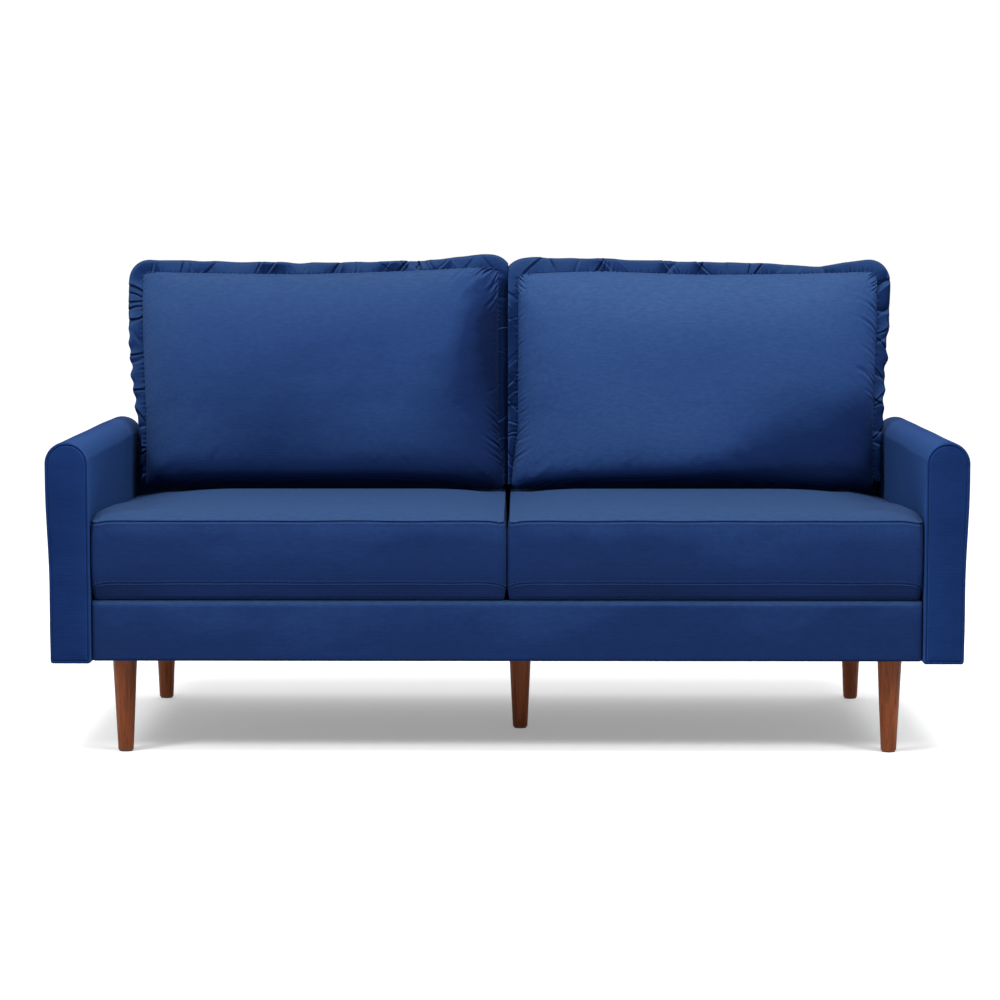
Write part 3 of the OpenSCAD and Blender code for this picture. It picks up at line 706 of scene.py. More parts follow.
def make_rail():
    """Velvet over the front rail: a shallow swell between rounded edges."""
    y0, y1, z0, z1 = RAIL_LOW.y, RAIL_HIGH.y, RAIL_LOW.z, RAIL_HIGH.z

    def shape(grid, n):
        z = grid[..., 2]
        face = smooth(-grid[..., 1], -y0 - 0.006, -y0)
        bowed = np.sin(pi * np.clip((z - z0) / (z1 - z0), 0, 1))
        soft = 0.0006 * ripple(grid * (0.7, 1, 1), 0.22, 31) + 0.0016 * bowed
        grid[..., 1] -= soft * face
        return grid

    path = rounded_path([(y0, z0, 0.006), (y0, z1 - 0.0005, 0.009),
                         (y1, z1 - 0.0005, 0.001), (y1, z0, 0.002)], 0.005)
    return lengthways_cover("rail_upholstery", path, RAIL_LOW.x, RAIL_HIGH.x, shape,
                            ["front_rail_cover", "deck_foam"])


def make_back_panel():
    """Velvet over the back panel, with a seam where its top band meets the rear face."""
    y0, y1 = PANEL_LOW.y, PANEL_HIGH.y
    step_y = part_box("base_rear_rail")[1].y + 0.002
    top, foot, step_z = PANEL_HIGH.z, PANEL_LOW.z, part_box("back_bottom_rail")[0].z - 0.0004
    r = (y1 - y0) / 2 - 0.0006
    x_end = PANEL_HIGH.x

    def shape(grid, n):
        z, y = grid[..., 2], grid[..., 1]
        rear = smooth(y, y1 - 0.02, y1 - 0.004)
        calm = smooth(x_end - np.abs(grid[..., 0]), 0.0, 0.06) * smooth(z, foot, foot + 0.07)
        soft = 0.0008 * ripple(grid * (0.8, 1, 1), 0.30, 41) * calm - 0.0006
        seam = -SEAM_DEPTH * np.exp(-((z - (top - 0.052)) / (SEAM_WIDTH * 0.8)) ** 2) * rear
        bowed = -0.002 * (1 - np.sin(pi * np.clip((z - foot) / (top - foot), 0, 1))) * rear
        grid = grid + n * (soft + seam + bowed)[..., None]
        ends = np.sign(grid[..., 0]) * smooth(np.abs(grid[..., 0]), x_end - 0.012, x_end - 0.003)
        y = grid[..., 1]
        grid[..., 0] += 0.0040 * ends * (1 - smooth(y, y0 + 0.012, y0 + 0.018)
                                         + smooth(y, y1 - 0.018, y1 - 0.012))
        return grid

    path = rounded_path([(y0, step_z, 0.002), (y0, top, r), (y1, top, r), (y1, foot, 0.006),
                         (step_y, foot, 0.002), (step_y, step_z, 0.002)], 0.004)
    piece = lengthways_cover("back_panel_upholstery", path, PANEL_LOW.x, PANEL_HIGH.x, shape,
                             ["back_cover", "back_foam"])
    return piece


# ------------------------------------------------------------------ seat cushions

class SeatPlan:
    """The right-hand seat cushion's top seen from above: a grid with rounded corners."""

    def __init__(self):
        self.low = low = np.array([SEAT_LOW.x + 0.0002, SEAT_LOW.y + 0.0040])
        self.high = high = np.array([SEAT_HIGH.x - 0.0004, SEAT_HIGH.y - 0.0010])
        length, depth = high - low
        across = ladder(0.0012, 1.12, 0.0028, length / 2)
        xs = low[0] + np.concatenate([across[:-1], length - across[::-1]])
        ys = low[1] + np.concatenate([ladder(0.0006, 1.10, 0.013, depth - 0.03)[:-1],
                                      depth - ladder(0.0020, 1.15, 0.012, 0.03)[::-1]])
        x, y = np.meshgrid(xs, ys)
        half, middle = (high - low) / 2, (high + low) / 2
        x, y = round_corners(x - middle[0], y - middle[1], half[0], half[1], SEAT_CORNER)
        self.x, self.y = x, y = x + middle[0], y + middle[1]
        self.rim = edge_loop(*x.shape)
        self.to_inner, self.to_arm = x - low[0], high[0] - x
        self.to_front, self.to_rear = y - low[1], high[1] - y
        self.to_side = np.minimum(self.to_inner, self.to_arm)
        to_end = np.minimum(self.to_front, self.to_rear)
        arc = SEAT_CORNER - np.hypot(SEAT_CORNER - self.to_side, SEAT_CORNER - to_end)
        at_corner = (self.to_side < SEAT_CORNER) & (to_end < SEAT_CORNER)
        self.to_edge = np.maximum(np.where(at_corner, arc, np.minimum(self.to_side, to_end)), 0)


def seat_seam(plan, seed):
    """Height of the top seam: lower at the rear by the arm and at the front corners."""
    x, y, low, high = plan.x, plan.y, plan.low, plan.high
    slope = np.clip((y + 0.38) / 0.61, 0, 1) * smooth(x, low[0] + 0.45, high[0])
    seam = SEAT_FRONT_SEAM - (SEAT_FRONT_SEAM - SEAT_REAR_SEAM) * slope
    seam = seam - 0.004 * bump_at(plan.to_inner + plan.to_front, 0, 0.020)
    seam = seam - 0.005 * bump_at(plan.to_arm + plan.to_front, 0, 0.024)
    inner = 1 - smooth(x, low[0] + 0.3, high[0] - 0.1)
    seam = seam + 0.003 * smooth(y, low[1] + 0.01, low[1] + 0.07) * (1 - smooth(y, -0.12, 0.05)) * inner
    by_arm = smooth(x, high[0] - 0.14, high[0] - 0.01)
    seam = seam + 0.007 * smooth(y, low[1] + 0.010, low[1] + 0.085) * (1 - smooth(y, -0.15, 0.15)) * by_arm
    return seam + 0.0003 * wobble(x, 0.24, seed)


def seat_top(plan, seam, seed):
    """Height of the top: crowned, rolled by the arm, pressed at the rear, puckered in front."""
    x, y = plan.x, plan.y
    crown = (swell(plan.to_front, 0.085) * swell(plan.to_inner, 0.170, 2.3)
             * swell(plan.to_arm, 0.250, 2.1) * swell(plan.to_rear, 0.05))
    rolled = 0.0085 * swell(plan.to_arm, 0.022, 2.2) * swell(plan.to_front, 0.050, 2.2) * (
        1 - smooth(y, -0.28, 0.14)) * smooth(x, plan.low[0] + 0.40, plan.high[0] - 0.03)
    top = seam + (SEAT_CROWN - 0.0005 - seam) * crown + rolled * (1 - crown)
    top += (np.minimum(top, PRESSED_SEAT) - top) * smooth(y, *PRESSED_Y)
    uneven = 0.0006 * ripple(in_plan(x, y), 0.17, seed + 1) * np.clip(crown, 0, 1)
    top += uneven * (1 - smooth(y, 0.02, PRESSED_Y[0]))
    top += 0.0011 * bump_at(plan.to_edge, 0.0016, 0.0014)
    by_corner = np.exp(-np.maximum(plan.to_side - 0.006, 0) / 0.040)
    pucker = wobble(x, PUCKER_PITCH, seed + 2, 9) * (0.35 + 0.65 * by_corner)
    pucker *= np.exp(-plan.to_edge / 0.009) * smooth(plan.to_edge, 0, 0.0015)
    return top + 0.00045 * pucker * (1 - smooth(plan.to_front, 0.02, 0.06))


class SeatRim:
    """The line round a seat cushion's edge, and the two seams and their folds along it."""

    def __init__(self, plan, seam, seed):
        self.x, self.y = x, y = plan.x.ravel()[plan.rim], plan.y.ravel()[plan.rim]
        along = np.stack([np.roll(x, -1) - np.roll(x, 1), np.roll(y, -1) - np.roll(y, 1)], 1)
        self.out = unit(np.stack([along[:, 1], -along[:, 0]], 1))
        run = run_along(np.stack([x, y], 1))
        to_side = np.minimum(x - plan.low[0], plan.high[0] - x)
        corner = np.exp(-np.maximum(to_side - 0.004, 0) / 0.034)
        self.at_front = 1 - smooth(y, plan.low[1] + 0.02, plan.low[1] + 0.20)
        self.parting = SEAT_PARTING * np.exp(-(x - plan.low[0]) / 0.020)
        self.upper = seam.ravel()[plan.rim]
        droop = 0.010 * np.exp(-np.maximum(to_side - 0.002, 0) / 0.014) * self.at_front
        self.lower = SEAT_LOWER_SEAM - droop + 0.0004 * wobble(x, 0.24, seed + 3)
        self.pucker = wobble(run, PUCKER_PITCH, seed + 4, 9) * (0.30 + 0.70 * corner)
        self.gather = wobble(run, GATHER_PITCH, seed + 5, 9) * (0.12 + 0.88 * corner)
        self.soft = ripple(in_plan(x, y), 0.15, seed + 6)

    def ring(self, push, z, parted, sideways=1.0):
        """The rim's points at height z, pushed outwards."""
        points = np.column_stack([self.x + self.out[:, 0] * push * sideways + self.parting * parted,
                                  self.y + self.out[:, 1] * push, z])
        points[:, 0] = np.clip(points[:, 0], SEAT_LOW.x, SEAT_HIGH.x)
        return points

    def boxing(self):
        """Rings down the sides from seam to seam, and how far down each of them is."""
        drop = self.upper - self.lower
        total = float(drop.mean())
        down = ladder(0.0005, 1.22, 0.0075, total / 2)
        down = np.concatenate([down[1:-1], total - down[::-1]])
        room = 0.0042 * self.at_front + 0.0004
        rings = []
        for d in down:
            t, e = d / total, total - d
            bulge = (1 - abs(2 * t - 1) ** 2.6) * room
            push = bulge + 0.0004 * self.soft * bulge / 0.004
            push = push - 0.0020 * bump_at(d, 0.0026, 0.0011) + 0.0003 * bump_at(d, 0.0065, 0.0025)
            push = push + 0.0003 * bump_at(e, 0.0030, 0.0016) - 0.0018 * bump_at(e, 0.0, 0.0011)
            folds = 0.00085 * self.pucker * np.exp(-d / 0.018) * min(1, d / 0.003)
            folds = folds + 0.00095 * self.gather * np.exp(-e / 0.012) * min(1, e / 0.001 + 0.3)
            rings.append(self.ring(push + folds * self.at_front, self.upper - drop * t, (1 - t) ** 2))
        return rings, down

    def strip(self):
        """Rings from the lower seam down to the underside, turning under on the way."""
        under = self.lower - (SEAT_LOW.z + 0.0003)
        turn = 0.78
        rings = []
        for t in np.concatenate([[0.02, 0.045, 0.08, 0.13, 0.20], np.linspace(0.30, 1.0, 11)]):
            d = t * float(under.mean())
            push = -(0.0105 * t ** 0.8 + 0.0070 * smooth(t, turn, 1.0)) * (0.25 + 0.75 * self.at_front)
            push = push - 0.0016 * bump_at(d, 0, 0.0011)
            folds = 0.0005 * bump_at(t, 0.45, 0.35)
            folds = folds + 0.00080 * self.gather * np.exp(-d / 0.010) * min(1, d / 0.001)
            share = t if t < turn else 1 - (1 - turn) * ((1 - t) / (1 - turn)) ** 2
            rings.append(self.ring(push + folds * self.at_front, self.lower - under * share, 0, 0.35))
        return rings


def seat_underside(rows, cols, lower, number):
    """The points and faces that close the underside, in strips from its front to its rear.

    lower is the last ring of points down the sides, and number is its first point's number.
    """
    ring = number + np.arange(len(lower))
    rear_at = cols + rows - 2
    front, rear = ring[:cols], ring[rear_at:rear_at + cols][::-1]
    right, left = ring[cols - 1:rear_at + 1], np.append(ring[0], ring[:rear_at + cols - 2:-1])
    front_line, rear_line = lower[front - number], lower[rear - number]
    levels = np.unique(np.append(np.arange(0, rows, 6), rows - 1))
    rungs, inside, faces = [front], [], []
    for k in levels[1:-1]:
        share = (lower[left[k] - number][1] - lower[0][1]) / (rear_line[0][1] - lower[0][1])
        first = number + len(lower) + len(inside)
        inside += (front_line * (1 - share) + rear_line * share)[1:-1].tolist()
        rungs.append(np.concatenate([[left[k]], first + np.arange(cols - 2), [right[k]]]))
    rungs.append(rear)
    for a, b, start, end in zip(rungs, rungs[1:], levels, levels[1:]):
        faces += [(a[c], b[c], b[c + 1], a[c + 1]) for c in range(1, cols - 2)]
        faces.append((*left[start:end + 1], b[1], a[1]))
        faces.append((*right[start:end + 1][::-1], a[-2], b[-2]))
    return np.array(inside), faces


def make_seat_cushion(side_name):
    """A foam box cushion: crowned top, boxed sides between two stitched seams."""
    side = SIDES[side_name]
    seed = 50 + side
    plan = SeatPlan()
    seam = seat_seam(plan, seed)
    parted = plan.x + SEAT_PARTING * np.exp(-plan.to_inner / 0.020)
    top = np.stack([parted, plan.y, seat_top(plan, seam, seed)], -1).reshape(-1, 3)
    rim = SeatRim(plan, seam, seed)
    boxing, down = rim.boxing()
    rings = boxing + rim.strip()
    rows, cols = plan.x.shape
    faces = grid_quads(rows, cols)
    above, count = plan.rim, len(plan.rim)
    for k in range(len(rings)):
        level = rows * cols + k * count + np.arange(count)
        faces += zip(above, level, np.roll(level, -1), np.roll(above, -1))
        above = level
    inside, closing = seat_underside(rows, cols, rings[-1], above[0])
    points = np.concatenate([top, *rings, inside]) * (side, 1, 1)
    faces = [tuple(int(i) for i in face) for face in faces + closing]
    body = f"seat_cushion_{side_name}"
    piece = make_piece(f"{body}_upholstery", points, faces, VELVET, body)
    recalculate(piece)
    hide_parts(f"{body}_cover", f"{body}_foam")

    # thread below the top seam and above the lower seam, on the front and sides
    order = np.arange(1 - rows, cols + rows - 1) % count
    order = order[rim.y[order] < 0.27]
    above_lower = np.flatnonzero(down < down[-1] - 0.0042)[-1]
    off = np.column_stack([rim.out[order] * 0.0003, 0 * order])
    lines = [(boxing[k][order] + off) * (side, 1, 1) for k in (4, above_lower)]
    make_stitches(f"{body}_stitching", lines, body)


def make_stitches(name, lines, body):
    """Thread stitches lying along lines of points."""
    pitch, length, radius = 0.0052, 0.0036, 0.00042
    points, faces = [], []
    sides = 6
    profile = [(-0.5, 0.25), (-0.36, 0.85), (0.0, 1.0), (0.36, 0.85), (0.5, 0.25)]
    for line in lines:
        gaps = np.linalg.norm(np.diff(line, axis=0), axis=1)
        keep = np.concatenate([[True], gaps > 1e-6])
        line = line[keep]
        run = run_along(line)
        for s in np.arange(pitch, run[-1] - pitch, pitch):
            here, ahead = (np.array([np.interp(v, run, line[:, k]) for k in range(3)])
                           for v in (s, s + length * 0.5))
            along = ahead - here
            if np.linalg.norm(along) < 1e-6:
                continue
            along = unit(along)
            across = unit(np.cross(along, (0.0, 0.0, 1.0)))
            up = np.cross(across, along)
            first = len(points)
            for at, thick in profile:
                for k in range(sides):
                    a = 2 * pi * k / sides
                    points.append(here + along * at * length
                                  + (across * cos(a) + up * sin(a)) * radius * thick)
            faces += tube_faces(len(profile), sides, first)
    make_piece(name, points, faces, THREAD, body)


# ------------------------------------------------------------------ back cushions

def cushion_place(points):
    """Local (across, forward, up the cushion) to the row frame, leaning on the back panel."""
    foot_y, foot_z = CUSHION_FOOT
    x, w, v = points[..., 0], points[..., 1], points[..., 2]
    y = foot_y + v * sin(LEAN) - w * cos(LEAN)
    z = foot_z + v * cos(LEAN) + w * sin(LEAN)
    return np.stack([CUSHION_MIDDLE + x, y, z], -1)


CLOTH = {
    "quality": 6, "mass": 0.25, "tension_stiffness": 14, "compression_stiffness": 14,
    "shear_stiffness": 5.6, "bending_stiffness": 0.5, "air_damping": 3.0, "use_pressure": True,
    "uniform_pressure_force": 2.6, "shrink_min": -0.016, "shrink_max": -0.016,
}


def run_cloth(piece, pinned):
    """Runs a cloth simulation on the piece and returns its last frame's points."""
    frames = 14
    group = piece.vertex_groups.new(name="pinned")
    group.add([int(i) for i in pinned], 1.0, "REPLACE")
    cloth = piece.modifiers.new("cloth", "CLOTH")
    for key, value in CLOTH.items():
        setattr(cloth.settings, key, value)
    cloth.settings.vertex_group_mass = "pinned"
    cloth.settings.effector_weights.gravity = 0
    cloth.collision_settings.use_collision = False
    cloth.point_cache.frame_start = 1
    cloth.point_cache.frame_end = frames
    for f in range(1, frames + 1):
        scene.frame_set(f)
    settled = piece.evaluated_get(bpy.context.evaluated_depsgraph_get())
    co = np.zeros(len(piece.data.vertices) * 3)
    settled.data.vertices.foreach_get("co", co)
    piece.modifiers.remove(cloth)
    piece.vertex_groups.remove(group)
    scene.frame_set(1)
    return co.reshape(-1, 3)


def resample(grid, rows, cols):
    """A grid of points, smoothly resampled at fractional row and column numbers."""
    def along(values, at):
        n = len(values)
        i = np.clip(np.floor(at).astype(int), 0, n - 2)
        f = (at - i)[:, None, None]
        b, c = values[i], values[i + 1]
        a = np.where((i > 0)[:, None, None], values[np.maximum(i - 1, 0)], 2 * b - c)
        d = np.where((i < n - 2)[:, None, None], values[np.minimum(i + 2, n - 1)], 2 * c - b)
        return b + 0.5 * f * (c - a + f * (2 * a - 5 * b + 4 * c - d + f * (3 * (b - c) + d - a)))
    grid = along(grid, rows)
    return along(grid.swapaxes(0, 1), cols).swapaxes(0, 1)


def level_line(at, table):
    """A value read smoothly from a short table of places and values."""
    places, values = table
    fine = np.linspace(places[0], places[-1], 400)
    line = np.interp(fine, places, values)
    reach = 25
    kernel = np.hanning(2 * reach + 1)
    line = np.convolve(np.pad(line, reach, mode="edge"), kernel / kernel.sum(), "valid")
    return np.interp(at, fine, line)


def swell_across(u):
    return (1 - np.abs(u) ** 3.2).clip(0) ** 0.52


def swell_up(v):
    """Thin towards the seam along the top, full down to the foot that stands on the seat."""
    return np.where(v > 0, (1 - np.abs(v) ** 2.7).clip(0) ** 0.58,
                    (1 - np.abs(v) ** 13).clip(0) ** 0.5)


def even_steps(profile, half, thick, step):
    """Values in -1 to 1 that are evenly spaced along a swelling profile's own length."""
    t = np.sin(np.linspace(-pi / 2, pi / 2, 4001))
    run = np.concatenate([[0], np.cumsum(np.hypot(np.diff(t) * half, np.diff(profile(t)) * thick))])
    count = int(round(run[-1] / step)) + 1
    return np.interp(np.linspace(0, run[-1], count), run, t)


def crease_field(spots, creases):
    """Height of a set of creases at flat points.

    Each crease is a sharp valley between two low ridges that starts on the seam and
    runs out: (start, direction, length, width, depth).
    """
    height = np.zeros(spots.shape[:-1])
    for start, way, length, width, depth in creases:
        rel = spots - start
        along = rel @ way
        t = along / length
        across = rel @ np.array([-way[1], way[0]]) + 0.07 * length * np.sin(2.2 * t)
        near = (t > -0.12) & (t < 1)
        fade = np.where(near, (1 - t.clip(0, 1)) ** 0.9, 0)
        w = width * (0.75 + 0.9 * t.clip(0, 1))
        q = across / w
        shape = -np.exp(-q * q) + 0.62 * np.exp(-((np.abs(q) - 1.7) / 0.9) ** 2)
        height += depth * fade * shape
    return height


# Gathers on each back cushion: where they start along the seam (metres from the corner
# that is named), how many, how long, how deep, and how far they lean along the seam.
GATHERS = {
    "left": [("inner", -0.080, 0.075, 10, (0.028, 0.090), 0.0032, -0.9),
             ("outer", -0.030, 0.045, 8, (0.018, 0.036), 0.0022, -0.5),
             ("inner", 0.085, 0.330, 13, (0.012, 0.060), 0.0013, 0.30),
             ("outer", -0.340, -0.045, 20, (0.020, 0.045), 0.0014, 0.3),
             ("inner", -0.620, -0.090, 44, (0.008, 0.026), 0.0016, 0.0),
             ("inner", 0.335, 0.440, 9, (0.040, 0.075), 0.0022, -0.6)],
    "right": [("inner", -0.040, 0.040, 10, (0.020, 0.045), 0.0030, -0.6),
              ("outer", -0.048, 0.042, 9, (0.024, 0.055), 0.0034, -0.6),
              ("outer", -0.330, -0.055, 15, (0.020, 0.095), 0.0019, 0.38),
              ("inner", 0.045, 0.400, 24, (0.014, 0.056), 0.0013, -0.45),
              ("outer", 0.050, 0.640, 46, (0.008, 0.026), 0.0016, 0.0),
              ("inner", 0.345, 0.440, 8, (0.035, 0.065), 0.0018, -0.6)],
}


def free_edge(grid):
    """A panel's outer side, top and inner side as one line."""
    return np.concatenate([grid[:-1, -1], grid[-1, :0:-1], grid[::-1, 0]])


def gather_creases(side_name, flat, seed):
    """Creases that start on the seam's flat path and lean away from the corners."""
    rng = np.random.default_rng(seed)
    path = free_edge(flat)
    run = run_along(path)
    rows, cols = flat.shape[:2]
    corners = {"outer": run[rows - 1], "inner": run[rows + cols - 2]}
    tangent = unit(np.gradient(path, axis=0))
    creases = []
    for corner, start, end, count, lengths, depth, lean in GATHERS[side_name]:
        uneven = rng.uniform(-0.35, 0.35, count) * (end - start) / count
        for place in np.linspace(start, end, count) + uneven:
            at = corners[corner] + place
            spot, way = (np.array([np.interp(at, run, line[:, k]) for k in (0, 1)])
                         for line in (path, tangent))
            bias = lean
            if start < 0 < end:
                bias *= -np.sign(place) * min(1, abs(place) / 0.02)
            inward = np.array([-way[1], way[0]])
            direction = unit(inward + way * (bias + rng.uniform(-0.09, 0.09)))
            length = rng.uniform(*lengths)
            width = rng.uniform(0.0014, 0.0022) * (1 + 1.0 * smooth(length, 0.03, 0.09))
            creases.append((spot, direction, length, width, depth * rng.uniform(0.15, 1.30)))
    return creases


def blurred(grid, reach):
    """A grid of points or shifts, smoothed over reach cells in both directions."""
    kernel = np.exp(-0.5 * (np.arange(-3 * reach, 3 * reach + 1) / reach) ** 2)
    kernel /= kernel.sum()
    for axis in (0, 1):
        pad = [(0, 0)] * grid.ndim
        pad[axis] = (3 * reach, 3 * reach)
        wide = np.pad(grid, pad, mode="edge")
        grid = sum(k * np.take(wide, np.arange(i, i + grid.shape[axis]), axis)
                   for i, k in enumerate(kernel))
    return grid


def tame(shift):
    """Keeps the simulated folds but holds the simulated swelling to a few millimetres."""
    swelling = blurred(shift, 5)
    folds = shift - swelling
    size = np.linalg.norm(swelling, axis=-1, keepdims=True)
    swelling = swelling * (SWELLING * np.tanh(size / 0.030) / np.maximum(size, 1e-9))
    size = np.linalg.norm(folds, axis=-1, keepdims=True)
    folds = folds * (FOLDS * np.tanh(size / FOLDS) / np.maximum(size, 1e-9))
    return swelling + 0.22 * folds


class SewnPanels:
    """A front and a rear grid of points that share their edge, held as one list of points."""

    def __init__(self, rows, cols):
        count = rows * cols
        self.shape = (rows, cols, 3)
        self.edge = edge_loop(rows, cols)
        self.rest = np.setdiff1d(np.arange(count), self.edge)
        self.rear_of = np.arange(count)
        self.rear_of[self.rest] = count + np.arange(len(self.rest))
        self.faces = two_panels(rows, cols, self.rear_of)

    def join(self, front, rear):
        return np.concatenate([front.reshape(-1, 3), rear.reshape(-1, 3)[self.rest]])

    def split(self, points):
        count = len(self.rear_of)
        return points[:count].reshape(self.shape), points[self.rear_of].reshape(self.shape)


def plain_panels(side, seed):
    """The front and rear of a back cushion before the cloth simulation, as local points."""
    half_h = CUSHION_H / 2
    u, v = np.meshgrid(even_steps(swell_across, CUSHION_HALF, 0.080, CLOTH_STEP),
                       even_steps(swell_up, half_h, 0.080, CLOTH_STEP))
    x, y = round_corners(u * CUSHION_HALF, v * half_h, CUSHION_HALF, half_h, 0.016)
    height = y + half_h
    outer, inner = smooth(x, 0.0, CUSHION_HALF), smooth(-x, 0.0, CUSHION_HALF)
    x = x - outer * 0.011 * (1 - smooth(height, 0.08, 0.42)) - outer * (0.005 if side == LEFT else 0)
    x = x - inner * 0.013 * (1 - smooth(height, 0.01, 0.15))
    height = height + level_line(CUSHION_MIDDLE + x, TOP_SEAM[side]) * smooth(y, -0.05, half_h)
    dome = swell_across(u) * swell_up(v)
    fuller = 1.0 - 0.10 * v
    soft = 1 + 0.03 * ripple(np.stack([x, 0 * x, height], -1), 0.30, seed + 1)
    tucked = 1 - (0.34 * smooth(x, -0.06, 0.28) * smooth(-y, 0.0, 0.18) if side == RIGHT else 0)
    return (np.stack([x, FRONT_SWELL * dome * fuller * soft * tucked, height], -1),
            np.stack([x, -REAR_SWELL * dome * fuller, height], -1))


def blow_up(front, rear):
    """Runs the cloth simulation on two sewn panels, then leans and presses them in place."""
    sewn = SewnPanels(*front.shape[:2])
    points = sewn.join(front, rear)
    cloth = add_mesh("cloth", points, sewn.faces)
    recalculate(cloth)
    moved = run_cloth(cloth, sewn.edge)
    bpy.data.objects.remove(cloth)
    points = points + sewn.join(*(tame(shift) for shift in sewn.split(moved - points)))
    return sewn.split(settle_cushion(cushion_place(points)))


def finer_towards_ends(n, low_band, high_band, coarse):
    """Row numbers for resampling: close together where the velvet is gathered."""
    fine = 0.26
    low, high = np.arange(0, low_band, fine), n - 1 - np.arange(0, high_band, fine)[::-1]
    middle = np.linspace(low[-1], high[0], int((high[0] - low[-1]) / coarse) + 2)[1:-1]
    return np.concatenate([low, middle, high])


def from_edge(flat):
    """How far each point of a flat panel is from its rim, and where along the rim that is."""
    rim = flat.reshape(-1, 2)[edge_loop(*flat.shape[:2])]
    run = run_along(rim)
    points = flat.reshape(-1, 2)
    distance, place = [], []
    for some in np.array_split(points, len(points) // 4000 + 1):
        gap = np.linalg.norm(some[:, None] - rim[None], axis=2)
        distance.append(gap.min(1))
        place.append(run[gap.argmin(1)])
    return (np.concatenate(part).reshape(flat.shape[:2]) for part in (distance, place))


def gather_panels(side_name, panels, rows, cols, seed):
    """Presses the seam's fine puckers and longer creases into both panels."""
    x, y = np.meshgrid((cols - cols[-1] / 2) * CLOTH_STEP, (rows - rows[-1] / 2) * CLOTH_STEP)
    x, y = round_corners(x, y, cols[-1] / 2 * CLOTH_STEP, rows[-1] / 2 * CLOTH_STEP, PANEL_CORNER)
    flat = np.stack([x, y], -1)
    distance, place = from_edge(flat)
    pucker = 0.00050 * wobble(place, 0.0125, seed + 2, 25) * np.exp(-distance / 0.008)
    pucker *= 0.20 + 0.9 * np.clip(wobble(place, 0.09, seed + 3), 0, 1.4)
    held = 1 - np.exp(-distance / 0.0012)
    foot = CUSHION_FOOT[1]
    for which, (grid, turn) in enumerate(zip(panels, (1, -1))):
        n = unit(np.cross(np.gradient(grid, axis=1), np.gradient(grid, axis=0)) * turn)
        lift = crease_field(flat, gather_creases(side_name, flat, seed + 10 + which)) + pucker
        lift = lift * held * smooth(grid[..., 2], foot + 0.006, foot + 0.03)
        grid += n * lift[..., None]


def make_back_cushion(side_name):
    """A stuffed cushion: two velvet panels blown up by a cloth simulation, then gathered."""
    side = SIDES[side_name]
    seed = 200 + side
    panels = blow_up(*plain_panels(side, seed))
    count_up, count_across = panels[0].shape[:2]
    rows = finer_towards_ends(count_up, 4, 13, 0.44)
    cols = finer_towards_ends(count_across, 12, 12, 0.58)
    front, rear = (resample(panel, rows, cols) for panel in panels)
    gather_panels(side_name, (front, rear), rows, cols, seed)

    sewn = SewnPanels(len(rows), len(cols))
    points = sewn.join(front, rear)
    points[:, 0] = np.maximum(points[:, 0], MIDDLE_GAP) * side
    body = f"back_cushion_{side_name}"
    piece = make_piece(f"{body}_upholstery", points, sewn.faces, CUSHION_VELVET[side], body)
    recalculate(piece)
    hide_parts(f"back_cushion_{side_name}_cover", f"back_cushion_{side_name}_fill")
    make_ruffle(side_name, free_edge(front))


def soft_limit(value, limit, softness):
    """value, kept above limit, bending gently towards it within softness."""
    over = (value - limit) / softness
    return limit + softness * np.where(over > 1, over, np.exp(np.clip(over, -20, 1) - 1))


def seat_under_cushion(y):
    return PRESSED_SEAT + (SEAT_CROWN - PRESSED_SEAT) * (1 - smooth(y, *PRESSED_Y))


def settle_cushion(points):
    """Presses a back cushion softly against the seat, the arm and the back panel."""
    x, y, z = points[:, 0], points[:, 1], points[:, 2]
    z = soft_limit(z, seat_under_cushion(y) + 0.0012, 0.006)
    r = (PANEL_HIGH.y - PANEL_LOW.y) / 2
    cy, cz = PANEL_LOW.y + r, PANEL_HIGH.z - r
    above = np.clip((z - cz) / r, 0, 1)
    wall = cy - r * np.sqrt(1 - above ** 2) - 0.0012
    y = np.where(z > PANEL_HIGH.z, y, -soft_limit(-y, -wall, 0.006))
    limit = np.where(z < ARM_HIGH.z + 0.012, ARM_LOW.x - 0.002, 1.0)
    return np.column_stack([np.clip(x, MIDDLE_GAP, limit), y, z])


def ruffle_root(seam):
    """The seam as even, smoothed points, and how far along it each of them is."""
    run = run_along(seam)
    s = np.linspace(0.014, run[-1] - 0.008, int(run[-1] / 0.0011))
    line = np.stack([np.interp(s, run, seam[:, k]) for k in range(3)], 1)
    kernel = np.hanning(21)
    kernel /= kernel.sum()
    padded = np.pad(line, ((10, 10), (0, 0)), mode="reflect", reflect_type="odd")
    return s, np.stack([np.convolve(padded[:, k], kernel, "valid") for k in range(3)], 1)


def ruffle_width(side, s, line, outer, inner, below_top):
    """The strip's width: from the tables, with a wavy rim, narrow between the cushions."""
    width = level_line(line[:, 0], TOP_FLANGE[side])
    width = width + (level_line(line[:, 2], SIDE_FLANGE[side]) - width) * outer * below_top
    contour = 0.0005 * wobble(s, 0.080, 311 + side) * (1 - 0.7 * inner)
    lobes = 0.0016 * wobble(s, 0.052, 316 + side) * outer * (1 - smooth(line[:, 2], 0.76, 0.86))
    width = np.maximum(width + contour + lobes, 0.0025)
    return width + (np.minimum(0.025, line[:, 0] + 0.0004) - width) * inner


